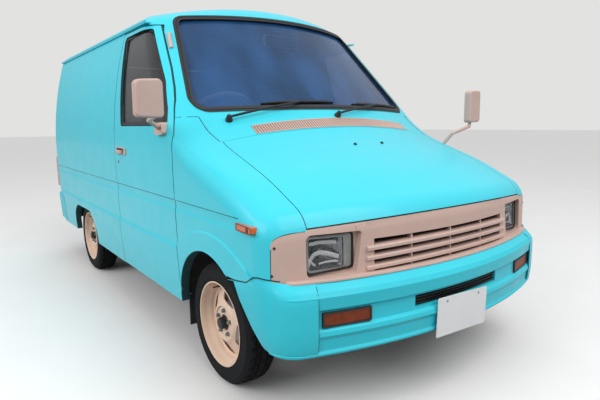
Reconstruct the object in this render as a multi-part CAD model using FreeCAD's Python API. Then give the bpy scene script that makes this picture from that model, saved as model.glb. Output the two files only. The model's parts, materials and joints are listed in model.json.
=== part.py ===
import FreeCAD, Part
import math
import os

# Small bonneted panel van with right-hand drive. Millimetres, X forward,
# Y left, Z up, origin on the ground under the middle of the van.

# Overall sizes
LENGTH = 3900.0
HALF_WIDTH = 847.0
WIDEST_Z = 950.0
ROOF_Z = 1820.0
SILL_Z = 285.0
WALL = 36.0
GAP = 6.0
SEAT = 0.3
MIRROR_REACH = 1050.0

# Curves of the body shell
SIDE_R_UPPER = 2550.0
SIDE_R_LOWER = 9000.0
ROOF_R = 3200.0
HEADER_R = 250.0
TAIL_R = 120.0
EDGE_R = 116.0
NOSE_AXIS = (-555.0, 950.0)
NOSE_TILT = 8.0
NOSE_LINE = [
    # x, z, corner radius (negative where the line is hollow)
    (1894, 100, 0),
    (1868, 817, 130),
    (1624, 942, 1500),
    (1202, 1101, -700),
    (320, 2044.7, 0),
]
REAR_LINE = [
    (-1845, 2000, 0),
    (-1880, 900, 4000),
    (-1880, 100, 0),
]

# Wheels and axles
WHEELBASE = 2224.0
FRONT_X = 1261.0
REAR_X = FRONT_X - WHEELBASE
TYRE_R = 272.0
TYRE_W = 145.0
RIM_R = 188.0
RIM_FACE_Y = 795.0
WHEEL_Y = 724.0
WHEEL_Z = TYRE_R
STEER_DEG = 30.0
KINGPIN_Y = 655.0
AXLE_R = 28.0
ARCH_R = 318.0
ARCH_Z = 286.0
REAR_ARCH = (-1255, -595, 513)

# Floors
CAB_FLOOR_Z = 415.0
LOAD_FLOOR_Z = 600.0
FLOOR_T = 30.0
LOAD_STEP_X = -60.0
FLOOR_END_X = 940.0
FIREWALL_X = 1100.0

# Lines on the side
GUTTER_Z = 1683.0
RIDGE_Z = 572.0
RIDGE_OUT = 7.0
BELT_Z = (755.0, 794.0)
BELT_IN = 5.0
BELT_END_X = 1556.0
FLARE = (1290.0, 128.0, 561.0)
FLARE_END_X = 1604.0
DOOR_REAR_X = 45.0
DOOR_TOP_Z = 1672.0
DOOR_FRONT = [
    (948, SILL_Z),
    (950, 1000),
    (938, 1100),
    (892, 1174),
    (833, 1258),
    (780, 1321),
    (686, 1426),
    (607, 1510),
    (489, 1636),
    (455, DOOR_TOP_Z),
]
DOOR_WINDOW = [
    (172, 1135, 22),
    (82, 1650, 28),
    (446, 1654, 34),
    (733, 1353, 300),
    (840, 1215, 200),
    (881, 1135, 20),
]
HINGE_X = 912.0
HINGE_Y = HALF_WIDTH + 6.0
GATE_HINGE = (-1864.0, 1699.0)
GATE_HINGE_Y = (-420.0, 420.0)

# Nose openings
HOOD_SIDE_Y = 684.0
HOOD_REAR = [(1142, 690), (1162, 520), (1208, 0)]
VENT_HALF_Y = 512.0
VENT_LENGTH = 58.0
HOOD_LIP = (762.0, 781.0)
FASCIA_EDGE_X = 1719.0
FASCIA_LOW_Z = 548.0
GRILLE_HALF_Y = 417.0
GRILLE_Z = (571.0, 706.0)
FIN_Z = [603.0, 641.0, 678.0]
DIVIDER_Y = [-229.0, 0.0, 229.0]
LAMP_Y = (528.0, 682.0)
LAMP_Z = (592.0, 734.0)
SCREEN = [(736, 1195), (606, 1732), 1212, 1750]
SEAL_W = 24.0
WIPERS = [
    # pivot (y, z), tip (y, z)
    ((-590, 1156), (30, 1232)),
    ((-4, 1176), (560, 1204)),
]

BUMPER_TOP_Z = 574.0
BUMPER_LOW_Z = 310.0

V = FreeCAD.Vector
PARTS = {}


# Basic shapes

def box(x, y, z):
    """Box from three (low, high) pairs."""
    return Part.makeBox(x[1] - x[0], y[1] - y[0], z[1] - z[0], V(x[0], y[0], z[0]))


def side_span(sign, near, far):
    """Y range between two distances from the middle, on one side."""
    return tuple(sorted((sign * near, sign * far)))


def rod(a, b, r):
    """Cylinder from point a to point b."""
    a = V(*a)
    b = V(*b)
    return Part.makeCylinder(r, (b - a).Length, a, b - a)


def tube(a, b, r_out, r_in):
    return rod(a, b, r_out).cut(rod(a, b, r_in))


def outline(points, plane, depth=0.0):
    """Closed wire through (u, v, corner radius) points."""
    spots = {
        "xy": lambda p: V(p[0], p[1], depth),
        "xz": lambda p: V(p[0], depth, p[1]),
        "yz": lambda p: V(depth, p[0], p[1]),
    }
    at = spots[plane]
    count = len(points)
    corners = []
    for i in range(count):
        here = at(points[i])
        radius = abs(points[i][2]) if len(points[i]) > 2 else 0
        if not radius:
            corners.append((here, None, here))
            continue
        back = (at(points[i - 1]) - here).normalize()
        ahead = (at(points[(i + 1) % count]) - here).normalize()
        half = back.getAngle(ahead) / 2
        reach = radius / math.tan(half)
        middle = (back + ahead).normalize() * (radius / math.sin(half) - radius)
        corners.append((here + back * reach, here + middle, here + ahead * reach))
    edges = []
    for i in range(count):
        start, middle, end = corners[i]
        if middle is not None:
            edges.append(Part.Arc(start, middle, end).toShape())
        following = corners[(i + 1) % count][0]
        if (following - end).Length > 1e-6:
            edges.append(Part.LineSegment(end, following).toShape())
    return Part.Wire(edges)


def prism(points, plane, low, high):
    """Outline pushed along the axis that its plane leaves free."""
    way = {"xy": V(0, 0, 1), "xz": V(0, 1, 0), "yz": V(1, 0, 0)}[plane]
    return Part.Face(outline(points, plane, low)).extrude(way * (high - low))


def flip(shape):
    """The same piece on the other side of the van."""
    return shape.mirror(V(0, 0, 0), V(0, 1, 0))


def both(shape):
    return [shape, flip(shape)]


def fuse_all(shapes):
    whole = shapes[0]
    for shape in shapes[1:]:
        whole = whole.fuse(shape)
    return whole.removeSplitter()


def less(shape, *tools):
    """Shape with the tools cut away, solid by solid."""
    solids = shape.Solids
    for tool in tools:
        solids = [piece for solid in solids for piece in solid.cut(tool).Solids]
    return solids[0] if len(solids) == 1 else Part.makeCompound(solids)


def within(shape, *tools):
    """What of a shape lies inside the tools, solid by solid."""
    solids = shape.Solids
    for tool in tools:
        solids = [piece for solid in solids for piece in solid.common(tool).Solids]
    return solids[0] if len(solids) == 1 else Part.makeCompound(solids)


def middle_of(edge):
    low, high = edge.ParameterRange
    return edge.valueAt((low + high) / 2)


def shift_line(points, t):
    """Moves an open line of straight runs to its left by t."""
    runs = []
    for (ax, az, _), (bx, bz, _) in zip(points, points[1:]):
        length = math.hypot(bx - ax, bz - az)
        nx = -(bz - az) / length * t
        nz = (bx - ax) / length * t
        runs.append((ax + nx, az + nz, bx + nx, bz + nz))
    out = [(runs[0][0], runs[0][1], 0)]
    for (x1, z1, x2, z2), (x3, z3, x4, z4), point in zip(runs, runs[1:], points[1:]):
        d = (x1 - x2) * (z3 - z4) - (z1 - z2) * (x3 - x4)
        p = x1 * z2 - z1 * x2
        q = x3 * z4 - z3 * x4
        radius = point[2] - t if point[2] > 0 else -point[2] + t
        out.append(((p * (x3 - x4) - (x1 - x2) * q) / d, (p * (z3 - z4) - (z1 - z2) * q) / d, radius))
    out.append((runs[-1][2], runs[-1][3], 0))
    return out


# Body shell

def half_width(z, t=0.0):
    """Half width of the body at height z, t inside the skin."""
    r = SIDE_R_UPPER if z > WIDEST_Z else SIDE_R_LOWER
    return HALF_WIDTH - r + math.sqrt((r - t) ** 2 - (z - WIDEST_Z) ** 2)


def roof_edge(t):
    """Where the side meets the roof, as (y, z)."""
    y = 700.0
    for _ in range(60):
        z = ROOF_Z - ROOF_R + math.sqrt((ROOF_R - t) ** 2 - y * y)
        y = half_width(z, t)
    return y, z


def section(t, low=200.0):
    """Cross-section of the body as a face at x = 0."""
    y_top, z_top = roof_edge(t)
    marks = [low, (low + WIDEST_Z) / 2, WIDEST_Z, (WIDEST_Z + z_top) / 2]
    side = [V(0, half_width(z, t), z) for z in marks] + [V(0, y_top, z_top)]
    other = [V(0, -p.y, p.z) for p in side]
    edges = [
        Part.Arc(side[0], side[1], side[2]).toShape(),
        Part.Arc(side[2], side[3], side[4]).toShape(),
        Part.Arc(side[4], V(0, 0, ROOF_Z - t), other[4]).toShape(),
        Part.Arc(other[4], other[3], other[2]).toShape(),
        Part.Arc(other[2], other[1], other[0]).toShape(),
        Part.LineSegment(other[0], side[0]).toShape(),
    ]
    return Part.Face(Part.Wire(edges))


def revolved(points, swing):
    """XZ outline turned about the tilted axis of the nose."""
    tilt = math.radians(NOSE_TILT)
    point = V(NOSE_AXIS[0], 0, NOSE_AXIS[1])
    axis = V(-math.sin(tilt), 0, math.cos(tilt))
    face = Part.Face(outline(points, "xz"))
    face.rotate(point, axis, -swing)
    return face.revolve(point, axis, 2 * swing)


def body_solid(t):
    """The whole outer form of the body, t inside its skin."""
    solid = section(t).extrude(V(4200, 0, 0))
    solid.translate(V(-2200, 0, 0))
    front = revolved(shift_line(NOSE_LINE, t) + [(2600, 2044.7), (2600, 100)], 60)
    rear = prism(shift_line(REAR_LINE, t) + [(-2600, 100), (-2600, 2000)], "xz", -1100, 1100)
    solid = solid.cut(front).cut(rear).Solids[0]
    for x_side, radius in ((1, HEADER_R), (-1, TAIL_R)):
        top = [
            e for e in solid.Edges
            if middle_of(e).z > ROOF_Z - t - 60
            and abs(middle_of(e).y) < 5
            and 300 < middle_of(e).x * x_side
        ]
        solid = solid.makeFillet(radius - t, top)
    rim = []
    for edge in solid.Edges:
        spot = middle_of(edge)
        along = abs(spot.z - WIDEST_Z) < 1 and edge.Length > 500
        off = abs(abs(spot.y) - half_width(min(spot.z, 1800), t))
        if spot.z > 205 and off < 2 and not along:
            rim.append(edge)
    return solid.makeFillet(EDGE_R - t, rim)


def skin_strip(z_low, z_high, t_out, t_in, x_low, x_high, y_sign=-1):
    """Strip along the side between two depths under the skin."""
    zs = [z_low, (z_low + z_high) / 2, z_high]
    outer = [V(x_low, y_sign * half_width(z, t_out), z) for z in zs]
    inner = [V(x_low, y_sign * half_width(z, t_in), z) for z in zs]
    edges = [
        Part.Arc(outer[0], outer[1], outer[2]).toShape(),
        Part.LineSegment(outer[2], inner[2]).toShape(),
        Part.Arc(inner[2], inner[1], inner[0]).toShape(),
        Part.LineSegment(inner[0], outer[0]).toShape(),
    ]
    return Part.Face(Part.Wire(edges)).extrude(V(x_high - x_low, 0, 0))


def nose_strip(low, high, t_out, t_in):
    """Curved sheet under the windscreen line, between two corners of the nose line."""
    outer = [point[:2] for point in shift_line(NOSE_LINE, t_out)]
    inner = [point[:2] for point in shift_line(NOSE_LINE, t_in)]
    return revolved([outer[low], outer[high], inner[high], inner[low]], 60)


# Cutting outlines

def door_cutter(grow):
    """Room that the right door fills, as a side-view outline inside an arc about its hinge."""
    front = [(x + grow, z) for x, z in DOOR_FRONT]
    front[0] = (front[0][0], SILL_Z - 20)
    front[-1] = (front[-1][0], DOOR_TOP_Z + grow)
    points = front + [(-200, DOOR_TOP_Z + grow), (-200, SILL_Z - 20)]
    room = prism(points, "xz", -1000, -500)
    reach = HINGE_X - DOOR_REAR_X + grow
    arc = Part.makeCylinder(reach, 2000, V(HINGE_X, -HINGE_Y, 0))
    return room.common(arc)


def screen_cutter(grow):
    """Windscreen outline in front view."""
    (y_low, z_low), (y_top, z_top), z_mid_low, z_mid_top = SCREEN
    corners = [
        V(0, -y_low, z_low), V(0, -y_top, z_top), V(0, y_top, z_top), V(0, y_low, z_low),
    ]
    wire = Part.Wire([
        Part.LineSegment(corners[0], corners[1]).toShape(),
        Part.Arc(corners[1], V(0, 0, z_mid_top), corners[2]).toShape(),
        Part.LineSegment(corners[2], corners[3]).toShape(),
        Part.Arc(corners[3], V(0, 0, z_mid_low), corners[0]).toShape(),
    ])
    block = Part.Face(wire).extrude(V(1500, 0, 0))
    upright = [e for e in block.Edges if abs(e.tangentAt(e.FirstParameter).x) > 0.99]
    block = block.makeFillet(66, upright)
    front = min(block.Faces, key=lambda f: f.CenterOfMass.x)
    wire = front.OuterWire
    if grow:
        wire = wire.makeOffset2D(grow)
    return Part.Face(wire).extrude(V(1500, 0, 0))


def hood_plan(shrink, x_high=2100):
    """Bonnet outline in plan, from its rear seam forward."""
    (x0, y0), (x1, y1), (x2, _) = HOOD_REAR
    side = HOOD_SIDE_Y - shrink
    x_side = x0 + (y0 - side) * (x1 - x0) / (y1 - y0) + shrink
    edges = [
        Part.LineSegment(V(x_high, -side, 0), V(x_side, -side, 0)).toShape(),
        Part.LineSegment(V(x_side, -side, 0), V(x1 + shrink, -y1, 0)).toShape(),
        Part.Arc(V(x1 + shrink, -y1, 0), V(x2 + shrink, 0, 0), V(x1 + shrink, y1, 0)).toShape(),
        Part.LineSegment(V(x1 + shrink, y1, 0), V(x_side, side, 0)).toShape(),
        Part.LineSegment(V(x_side, side, 0), V(x_high, side, 0)).toShape(),
        Part.LineSegment(V(x_high, side, 0), V(x_high, -side, 0)).toShape(),
    ]
    return Part.Face(Part.Wire(edges)).extrude(V(0, 0, 1400))


def above_lip(offset):
    """Room above the front edge of the bonnet."""
    z_side, z_mid = HOOD_LIP
    low = [V(1000, -HOOD_SIDE_Y, z_side + offset), V(1000, HOOD_SIDE_Y, z_side + offset)]
    high = [V(1000, HOOD_SIDE_Y, 1400), V(1000, -HOOD_SIDE_Y, 1400)]
    edges = [
        Part.Arc(low[0], V(1000, 0, z_mid + offset), low[1]).toShape(),
        Part.LineSegment(low[1], high[0]).toShape(),
        Part.LineSegment(high[0], high[1]).toShape(),
        Part.LineSegment(high[1], low[0]).toShape(),
    ]
    return Part.Face(Part.Wire(edges)).extrude(V(1100, 0, 0))


def arch_front(radius, low=-1000, high=1000):
    wheel = rod((FRONT_X, low, ARCH_Z), (FRONT_X, high, ARCH_Z), radius)
    below = box((FRONT_X - radius, FRONT_X + radius), (low, high), (0, ARCH_Z))
    return wheel.fuse(below).removeSplitter()


def arch_rear(low=-1000, high=1000):
    x_low, x_high, z_top = REAR_ARCH
    points = [(x_low - 20, 0), (x_low, z_top, 190), (x_high, z_top, 190), (x_high + 20, 0)]
    return prism(points, "xz", low, high)


def load_door(shrink):
    """Tailgate outline in rear view."""
    y = 700 - shrink
    low = 572 + shrink
    high = 1700 - shrink
    points = [
        (-y - 20, low, 40), (y + 20, low, 40), (y + 20, 1000, 300),
        (y - 55, high, 60), (-y + 55, high, 60), (-y - 20, 1000, 300),
    ]
    return prism(points, "yz", -2000, -1780)


def add(name, shape):
    """Keeps one node, as its solids."""
    solids = [s for s in shape.Solids if s.Volume > 50]
    PARTS[name] = solids[0] if len(solids) == 1 else Part.makeCompound(solids)


# Body panels

SPACE_X = (-2000, 2100)
SPACE_Y = (-950, 950)
SPACE_Z = (0, 2000)


def half_space(sign, y=0.0):
    """Everything on one side of the van, from y outwards."""
    return box(SPACE_X, tuple(sorted((sign * y, sign * 950))), SPACE_Z)


def lower_band():
    """Proud lower part of the right side with its flare over the front wheel."""
    y_ridge = half_width(RIDGE_Z)
    points = [
        (y_ridge - 1, RIDGE_Z + 8),
        (y_ridge + RIDGE_OUT, RIDGE_Z - 14),
        (half_width(420) + RIDGE_OUT, 420),
        (half_width(SILL_Z) + RIDGE_OUT - 2, SILL_Z + 8),
        (half_width(SILL_Z) + 2, SILL_Z),
        (half_width(SILL_Z, 20), SILL_Z),
        (half_width(RIDGE_Z, 20), RIDGE_Z + 8),
    ]
    band = flip(prism(points, "yz", -1630, FLARE_END_X))
    x, z, r = FLARE
    slab = skin_strip(RIDGE_Z - 30, z + r + 20, -RIDGE_OUT, 20, x - r, FLARE_END_X)
    cone = Part.makeCone(r + 34, r - 8, 42, V(x, -HALF_WIDTH + 32, z), V(0, -1, 0))
    return band.fuse(slab.common(cone)).removeSplitter()


def belt():
    """Shallow recess along the right side, open outwards."""
    low, high = BELT_Z
    points = [
        (-half_width(low) - 20, low - 34),
        (-half_width(low) + 0.5, low - 12),
        (-half_width(low) + BELT_IN, low),
        (-half_width(high) + BELT_IN, high),
        (-half_width(high) - 20, high + 2),
    ]
    return prism(points, "yz", -2000, BELT_END_X)


def fascia_wrap():
    """Room of the grille panel where it turns round the corner."""
    top = HOOD_LIP[0] - 4
    points = [
        (FASCIA_EDGE_X, FASCIA_LOW_Z), (FASCIA_EDGE_X, top, 46),
        (2100, top), (2100, FASCIA_LOW_Z),
    ]
    return prism(points, "xz", -950, 950)


def build_body(outer, shell):
    wheels = [arch_front(ARCH_R), arch_rear()]
    doors = both(door_cutter(GAP))
    band = lower_band()
    shell = less(shell, *both(belt()))
    gate = load_door(0)
    split_x = DOOR_REAR_X + 300

    roof = within(shell, box(SPACE_X, SPACE_Y, (GUTTER_Z, 2000)))
    roof = less(roof, gate, screen_cutter(0))
    hinges = [gate_hinge(y, False) for y in GATE_HINGE_Y]
    add("roof_panel", fuse_all([roof, gutters()] + hinges))

    rear = within(shell, box((-2000, split_x), SPACE_Y, (SILL_Z, GUTTER_Z)))
    for name, sign in (("side_panel_right", -1), ("side_panel_left", 1)):
        wall = within(rear, half_space(sign)).fuse(band if sign < 0 else flip(band))
        wall = within(wall, box((-2000, split_x), SPACE_Y, (SILL_Z, GUTTER_Z)))
        wall = less(wall, gate, arch_rear(), *doors)
        add(name, wall.fuse(jamb() if sign < 0 else flip(jamb())).removeSplitter())

    front = within(shell, box((split_x, 2100), SPACE_Y, (SILL_Z, GUTTER_Z)))
    front = less(front, arch_front(ARCH_R), screen_cutter(0), *doors)
    pillars = within(front, box(SPACE_X, SPACE_Y, (1174, 2000)))
    lower = within(front, box(SPACE_X, SPACE_Y, (0, 1174)))
    scuttle = box((900, 1250), (-702, 702), (1000, 1175)).cut(hood_plan(0))
    cowl = pillars.fuse(within(lower, scuttle))
    add("windscreen_frame", less(cowl, vent_cutter(0)))
    lower = less(lower, scuttle)

    centre = within(lower, box((1000, 2100), (-HOOD_SIDE_Y, HOOD_SIDE_Y), (0, 1300)))
    add("hood", within(centre, hood_plan(3), above_lip(GAP)))
    faces = [less(within(centre, box((1600, 2100), SPACE_Y, (FASCIA_LOW_Z, 900))), above_lip(0))]
    wrap = fascia_wrap()
    for name, sign in (("fender_right", -1), ("fender_left", 1)):
        side = within(lower, half_space(sign, HOOD_SIDE_Y))
        faces.append(within(side, wrap))
        wing = less(side, wrap)
        skirt = within(band if sign < 0 else flip(band), box((split_x, FLARE_END_X), SPACE_Y, (SILL_Z, 720)))
        ledge = hood_ledge()
        wing = fuse_all([wing, less(skirt, wheels[0], *doors), ledge if sign > 0 else flip(ledge)])
        add(name, less(wing, box((1450, 2100), SPACE_Y, (0, FASCIA_LOW_Z + 1))))
    build_fascia(fuse_all(faces))
    build_doors(shell, band)
    build_tailgate(shell)


def jamb():
    """Flange of the right rear door jamb, behind the closed door's inner face."""
    pieces = []
    for low, high in ((330, WIDEST_Z), (WIDEST_Z, 1590)):
        pieces.append(skin_strip(low, high, WALL - 6, WALL + 8, DOOR_REAR_X - 40, DOOR_REAR_X - GAP))
        pieces.append(skin_strip(low, high, WALL + SEAT, WALL + 8, DOOR_REAR_X - 40, DOOR_REAR_X + 18))
    return fuse_all(pieces)


def hood_ledge():
    """Flanges on both inner edges of the wings, under the closed bonnet."""
    x = (1340, 1660)
    root = SHELL_LEDGE_ROOT.common(box(x, (HOOD_SIDE_Y + 3, HOOD_SIDE_Y + 16), (700, 1200)))
    lip = SHELL_LEDGE.common(box(x, (HOOD_SIDE_Y - 22, HOOD_SIDE_Y + 4), (700, 1200)))
    return root.fuse(lip).removeSplitter()


def gate_hinge(y, moving):
    """One tailgate hinge at y: the eye and strap of the gate, or the pin and lugs of the roof."""
    x, z = GATE_HINGE
    if moving:
        eye = tube((x, y - 15, z), (x, y + 15, z), 9, 4 + SEAT)
        strap = box((x - 6, x + 2), (y - 14, y + 14), (z - 62, z - 6)).cut(CLEAR_BODY)
        root = box((x + 2, x + 24), (y - 12, y + 12), (z - 50, z - 24))
        return fuse_all([eye, strap, root])
    pin = rod((x, y - 34, z), (x, y + 34, z), 4)
    pieces = [pin]
    for low, high in ((y - 34, y - 15 - SEAT), (y + 15 + SEAT, y + 34)):
        pieces.append(rod((x, low, z), (x, high, z), 9))
        pieces.append(box((x - 4, x + 26), (low, high), (z + 2, z + 20)))
    return fuse_all(pieces)


def gutters():
    """Drip rails along both edges of the roof."""
    y = half_width(GUTTER_Z)
    z = GUTTER_Z
    points = [
        (-y + 20, z + 2), (-y - 10, z), (-y - 14, z + 12),
        (-y - 9, z + 13), (-y - 7, z + 5), (-y + 20, z + 8),
    ]
    rail = prism(points, "yz", -1740, 430)
    return rail.fuse(flip(rail))


def vent_cutter(shrink):
    (x1, y1), (x2, _) = HOOD_REAR[1], HOOD_REAR[2]
    y1 = VENT_HALF_Y - shrink
    front = [V(x1 - 4 - shrink, -y1, 900), V(x2 - 4 - shrink, 0, 900), V(x1 - 4 - shrink, y1, 900)]
    back = [p - V(VENT_LENGTH - 2 * shrink, 0, 0) for p in front]
    edges = [
        Part.Arc(front[0], front[1], front[2]).toShape(),
        Part.LineSegment(front[2], back[2]).toShape(),
        Part.Arc(back[2], back[1], back[0]).toShape(),
        Part.LineSegment(back[0], front[0]).toShape(),
    ]
    return Part.Face(Part.Wire(edges)).extrude(V(0, 0, 400))


def build_vent():
    """Air intake strip behind the bonnet."""
    sheet = SHELL
    add("cowl_vent", within(sheet, vent_cutter(0.3)))


def lamp_outline(sign, grow):
    """Corners of one headlamp lens in front view."""
    y_low, y_high = LAMP_Y
    z_low, z_high = LAMP_Z
    points = [
        (sign * (y_high + grow), z_low - grow, 16),
        (sign * (y_low + 4 - grow), z_low - grow, 16),
        (sign * (y_low - grow), z_high + grow, 16),
        (sign * (y_high + grow), z_high + grow, 16),
    ]
    return points if sign < 0 else points[::-1]


def build_fascia(face):
    """Grille panel with lamp recesses, slots and fins, and the headlamps in it."""
    y_low, y_high = LAMP_Y
    z_low, z_high = LAMP_Z
    recess = [
        (-y_high - 8, z_low - 8, 22), (-y_low + 34, z_low - 8, 12),
        (-y_low + 60, z_high + 9, 12), (-y_high - 8, z_high + 9, 22),
    ]
    plate = revolved([(1830, 560), (1848, 560), (1840, 760), (1822, 760)], 26)
    for hole, sign in zip(both(prism(recess, "yz", 1500, 2100)), (-1, 1)):
        face = face.cut(hole)
        y_edges = tuple(sorted((sign * (y_low - 80), sign * (y_high + 22))))
        back = plate.common(box((1500, 2100), y_edges, (z_low - 20, z_high + 18)))
        middle = box((1500, 2100), (-HOOD_SIDE_Y + 1, HOOD_SIDE_Y - 1), (500, 800))
        back = back.common(fascia_wrap().fuse(middle))
        face = face.fuse(back.cut(prism(lamp_outline(sign, 0.3), "yz", 1500, 2100)))
    face = face.cut(box((1500, 2100), (-GRILLE_HALF_Y, GRILLE_HALF_Y), GRILLE_Z))
    y_fin = GRILLE_HALF_Y + 36
    for z in FIN_Z:
        profile = [(1826, z + 14), (1880, z + 7), (1884, z + 2), (1884, z - 8), (1826, z)]
        face = face.fuse(revolved(profile, 16).common(box((1500, 2000), (-y_fin, y_fin), (500, 800))))
    strip = revolved([(1826, 560), (1872, 560), (1866, 720), (1826, 720)], 14)
    for y in DIVIDER_Y:
        face = face.fuse(strip.common(box((1500, 2000), (y - 4, y + 4), (GRILLE_Z[0] - 2, GRILLE_Z[1] + 2))))
    add("grille_panel", face)
    lens = revolved([(1742, 560), (1854, 560), (1846, 760), (1735, 760)], 26)
    for name, sign in (("headlamp_right", -1), ("headlamp_left", 1)):
        body = prism(lamp_outline(sign, 0), "yz", 1600, 2000)
        add(name, body.common(lens))


def shell_layer(t_out, t_in):
    """Closed sheet between two depths under the skin."""
    return body_solid(t_out).cut(body_solid(t_in))


def build_doors(shell, band):
    room = door_cutter(0)
    frame = box(SPACE_X, SPACE_Y, (SILL_Z + GAP, 2000))
    door = within(shell, half_space(-1), room, frame).fuse(within(band, room, frame))
    window = prism(DOOR_WINDOW, "xz", -900, -500)
    door = less(door, arch_front(ARCH_R + 2), window, screen_cutter(GAP))
    glass = within(shell_layer(14, 19), half_space(-1), window)
    add("door_right", door)
    add("door_left", flip(door))
    add("door_right_glass", glass)
    add("door_left_glass", flip(glass))
    points = [(95, 976, 8), (95, 1013, 8), (261, 1006, 14), (261, 976, 14)]
    pull = prism(points, "xz", -HALF_WIDTH - 22, -HALF_WIDTH + 20).cut(CLEAR_BODY)
    add("door_handle_right", pull)
    add("door_handle_left", flip(pull))


def build_tailgate(shell):
    gate = within(shell, load_door(GAP))
    strap = [gate_hinge(y, True) for y in GATE_HINGE_Y]
    points = [(-560, 1150, 60), (560, 1150, 60), (520, 1580, 70), (-520, 1580, 70)]
    window = prism(points, "yz", -2000, -1700)
    add("tailgate", fuse_all([less(gate, window)] + strap))
    front = [(x, z, 0) for x, z, _ in reversed(shift_line(REAR_LINE, 19))]
    sheet = prism(shift_line(REAR_LINE, 14) + front, "xz", -700, 700)
    add("tailgate_glass", sheet.common(window))


def build_screen():
    glass = nose_strip(3, 4, 12, 17)
    seal = nose_strip(3, 4, -3, 26)
    inner = screen_cutter(-SEAL_W)
    add("windscreen", glass.common(inner))
    add("windscreen_seal", seal.common(screen_cutter(0).cut(inner)))


# Running gear

def ring_profile(points, x, y, z, sign):
    """Turned piece about the axle, from (radius, y offset) points."""
    wire = Part.makePolygon([V(0, o, r) for r, o in points] + [V(0, points[0][1], points[0][0])])
    shape = Part.Face(wire).revolve(V(0, 0, 0), V(0, 1, 0), 360)
    if sign < 0:
        shape = flip(shape)
    shape.translate(V(x, sign * y, z))
    return shape


def wheel_pair(x, sign):
    """Tyre and dished rim with four hand holes, outer face away from the van."""
    half = TYRE_W / 2
    bead = RIM_R - 8
    inner = [
        (bead, -half + 14), (RIM_R + 18, -half + 2), (TYRE_R - 36, -half),
        (TYRE_R - 14, -half + 10), (TYRE_R - 3, -half + 24), (TYRE_R, -20),
    ]
    outer = [(r, -offset) for r, offset in reversed(inner)]
    tyre = ring_profile(inner + outer, x, WHEEL_Y, WHEEL_Z, sign)
    face = RIM_FACE_Y - WHEEL_Y
    inner_flange = [(bead - 0.3, -face + 12), (RIM_R, -face), (RIM_R - 6, -face - 4), (bead - 6, -face + 8)]
    disc_back = [(bead - 8, -20), (bead - 14, 22), (130, 36), (75, 40), (72, 20), (AXLE_R + SEAT, 20)]
    disc_front = [(AXLE_R + SEAT, 12), (78, 12), (84, 30), (130, 26), (bead - 24, 12), (bead - 26, 30)]
    outer_flange = [(bead - 14, 44), (bead - 8, face - 8), (RIM_R - 6, face), (RIM_R, face - 2), (bead, face - 12)]
    barrel = [(bead - 2, 30), (bead - 4, 18), (bead - 2, -20)]
    profile = inner_flange + disc_back + disc_front + outer_flange + barrel
    rim = ring_profile(profile, x, WHEEL_Y, WHEEL_Z, sign)
    for i in range(4):
        angle = math.radians(75 + 90 * i)
        hole_x = x + 118 * math.cos(angle)
        hole_z = WHEEL_Z + 118 * math.sin(angle)
        hole = rod((hole_x, sign * (WHEEL_Y + 5), hole_z), (hole_x, sign * (WHEEL_Y + 60), hole_z), 27)
        rim = rim.cut(hole)
    return tyre, rim


def build_wheels():
    for end, x in (("front", FRONT_X), ("rear", REAR_X)):
        for side, sign in (("right", -1), ("left", 1)):
            tyre, rim = wheel_pair(x, sign)
            add("tyre_%s_%s" % (end, side), tyre)
            add("wheel_%s_%s" % (end, side), rim)


def build_running_gear():
    for side, sign in (("right", -1), ("left", 1)):
        y = sign * KINGPIN_Y
        pin = rod((FRONT_X, y, 200), (FRONT_X, y, 345), 20)
        axle = rod((FRONT_X, y, WHEEL_Z), (FRONT_X, sign * (WHEEL_Y + 20), WHEEL_Z), AXLE_R)
        drum_in = (FRONT_X, sign * (WHEEL_Y - 62), WHEEL_Z)
        drum_out = (FRONT_X, sign * (WHEEL_Y - 40), WHEEL_Z)
        drum = rod(drum_in, drum_out, 66)
        arm = box((FRONT_X - 150, FRONT_X), side_span(sign, KINGPIN_Y - 30, KINGPIN_Y - 18), (WHEEL_Z - 40, WHEEL_Z - 20))
        boss = box((FRONT_X - 20, FRONT_X + 20), side_span(sign, KINGPIN_Y - 30, KINGPIN_Y), (WHEEL_Z - 50, WHEEL_Z - 10))
        add("knuckle_" + side, fuse_all([pin, axle, drum, arm, boss]))
    cross = [
        box((FRONT_X - 40, FRONT_X + 40), (-400, 400), (215, 275)),
    ]
    for sign in (-1, 1):
        cross.append(box((FRONT_X - 30, FRONT_X + 30), side_span(sign, 390, KINGPIN_Y + 26), (170, 199.7)))
        cross.append(box((FRONT_X - 40, FRONT_X + 40), side_span(sign, 380, 430), (170, 275)))
        cross.append(box((FRONT_X - 26, FRONT_X + 26), side_span(sign, 430, KINGPIN_Y + 26), (345.3, 372)))
        cross.append(box((FRONT_X - 40, FRONT_X + 40), side_span(sign, 380, 440), (275, 372)))
    add("front_suspension", fuse_all(cross))
    axle = [
        rod((REAR_X, -WHEEL_Y - 20, WHEEL_Z), (REAR_X, WHEEL_Y + 20, WHEEL_Z), AXLE_R),
        Part.makeSphere(105, V(REAR_X, 0, WHEEL_Z)),
    ]
    for sign in (-1, 1):
        axle.append(rod((REAR_X, sign * (WHEEL_Y - 62), WHEEL_Z), (REAR_X, sign * (WHEEL_Y - 40), WHEEL_Z), 115))
        spring = [
            (REAR_X - 560, 360), (REAR_X, 292), (REAR_X + 520, 360),
            (REAR_X + 520, 384), (REAR_X, 320), (REAR_X - 560, 384),
        ]
        axle.append(prism(spring, "xz", sign * 470 - 30, sign * 470 + 30))
    add("rear_axle", fuse_all(axle))


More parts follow.
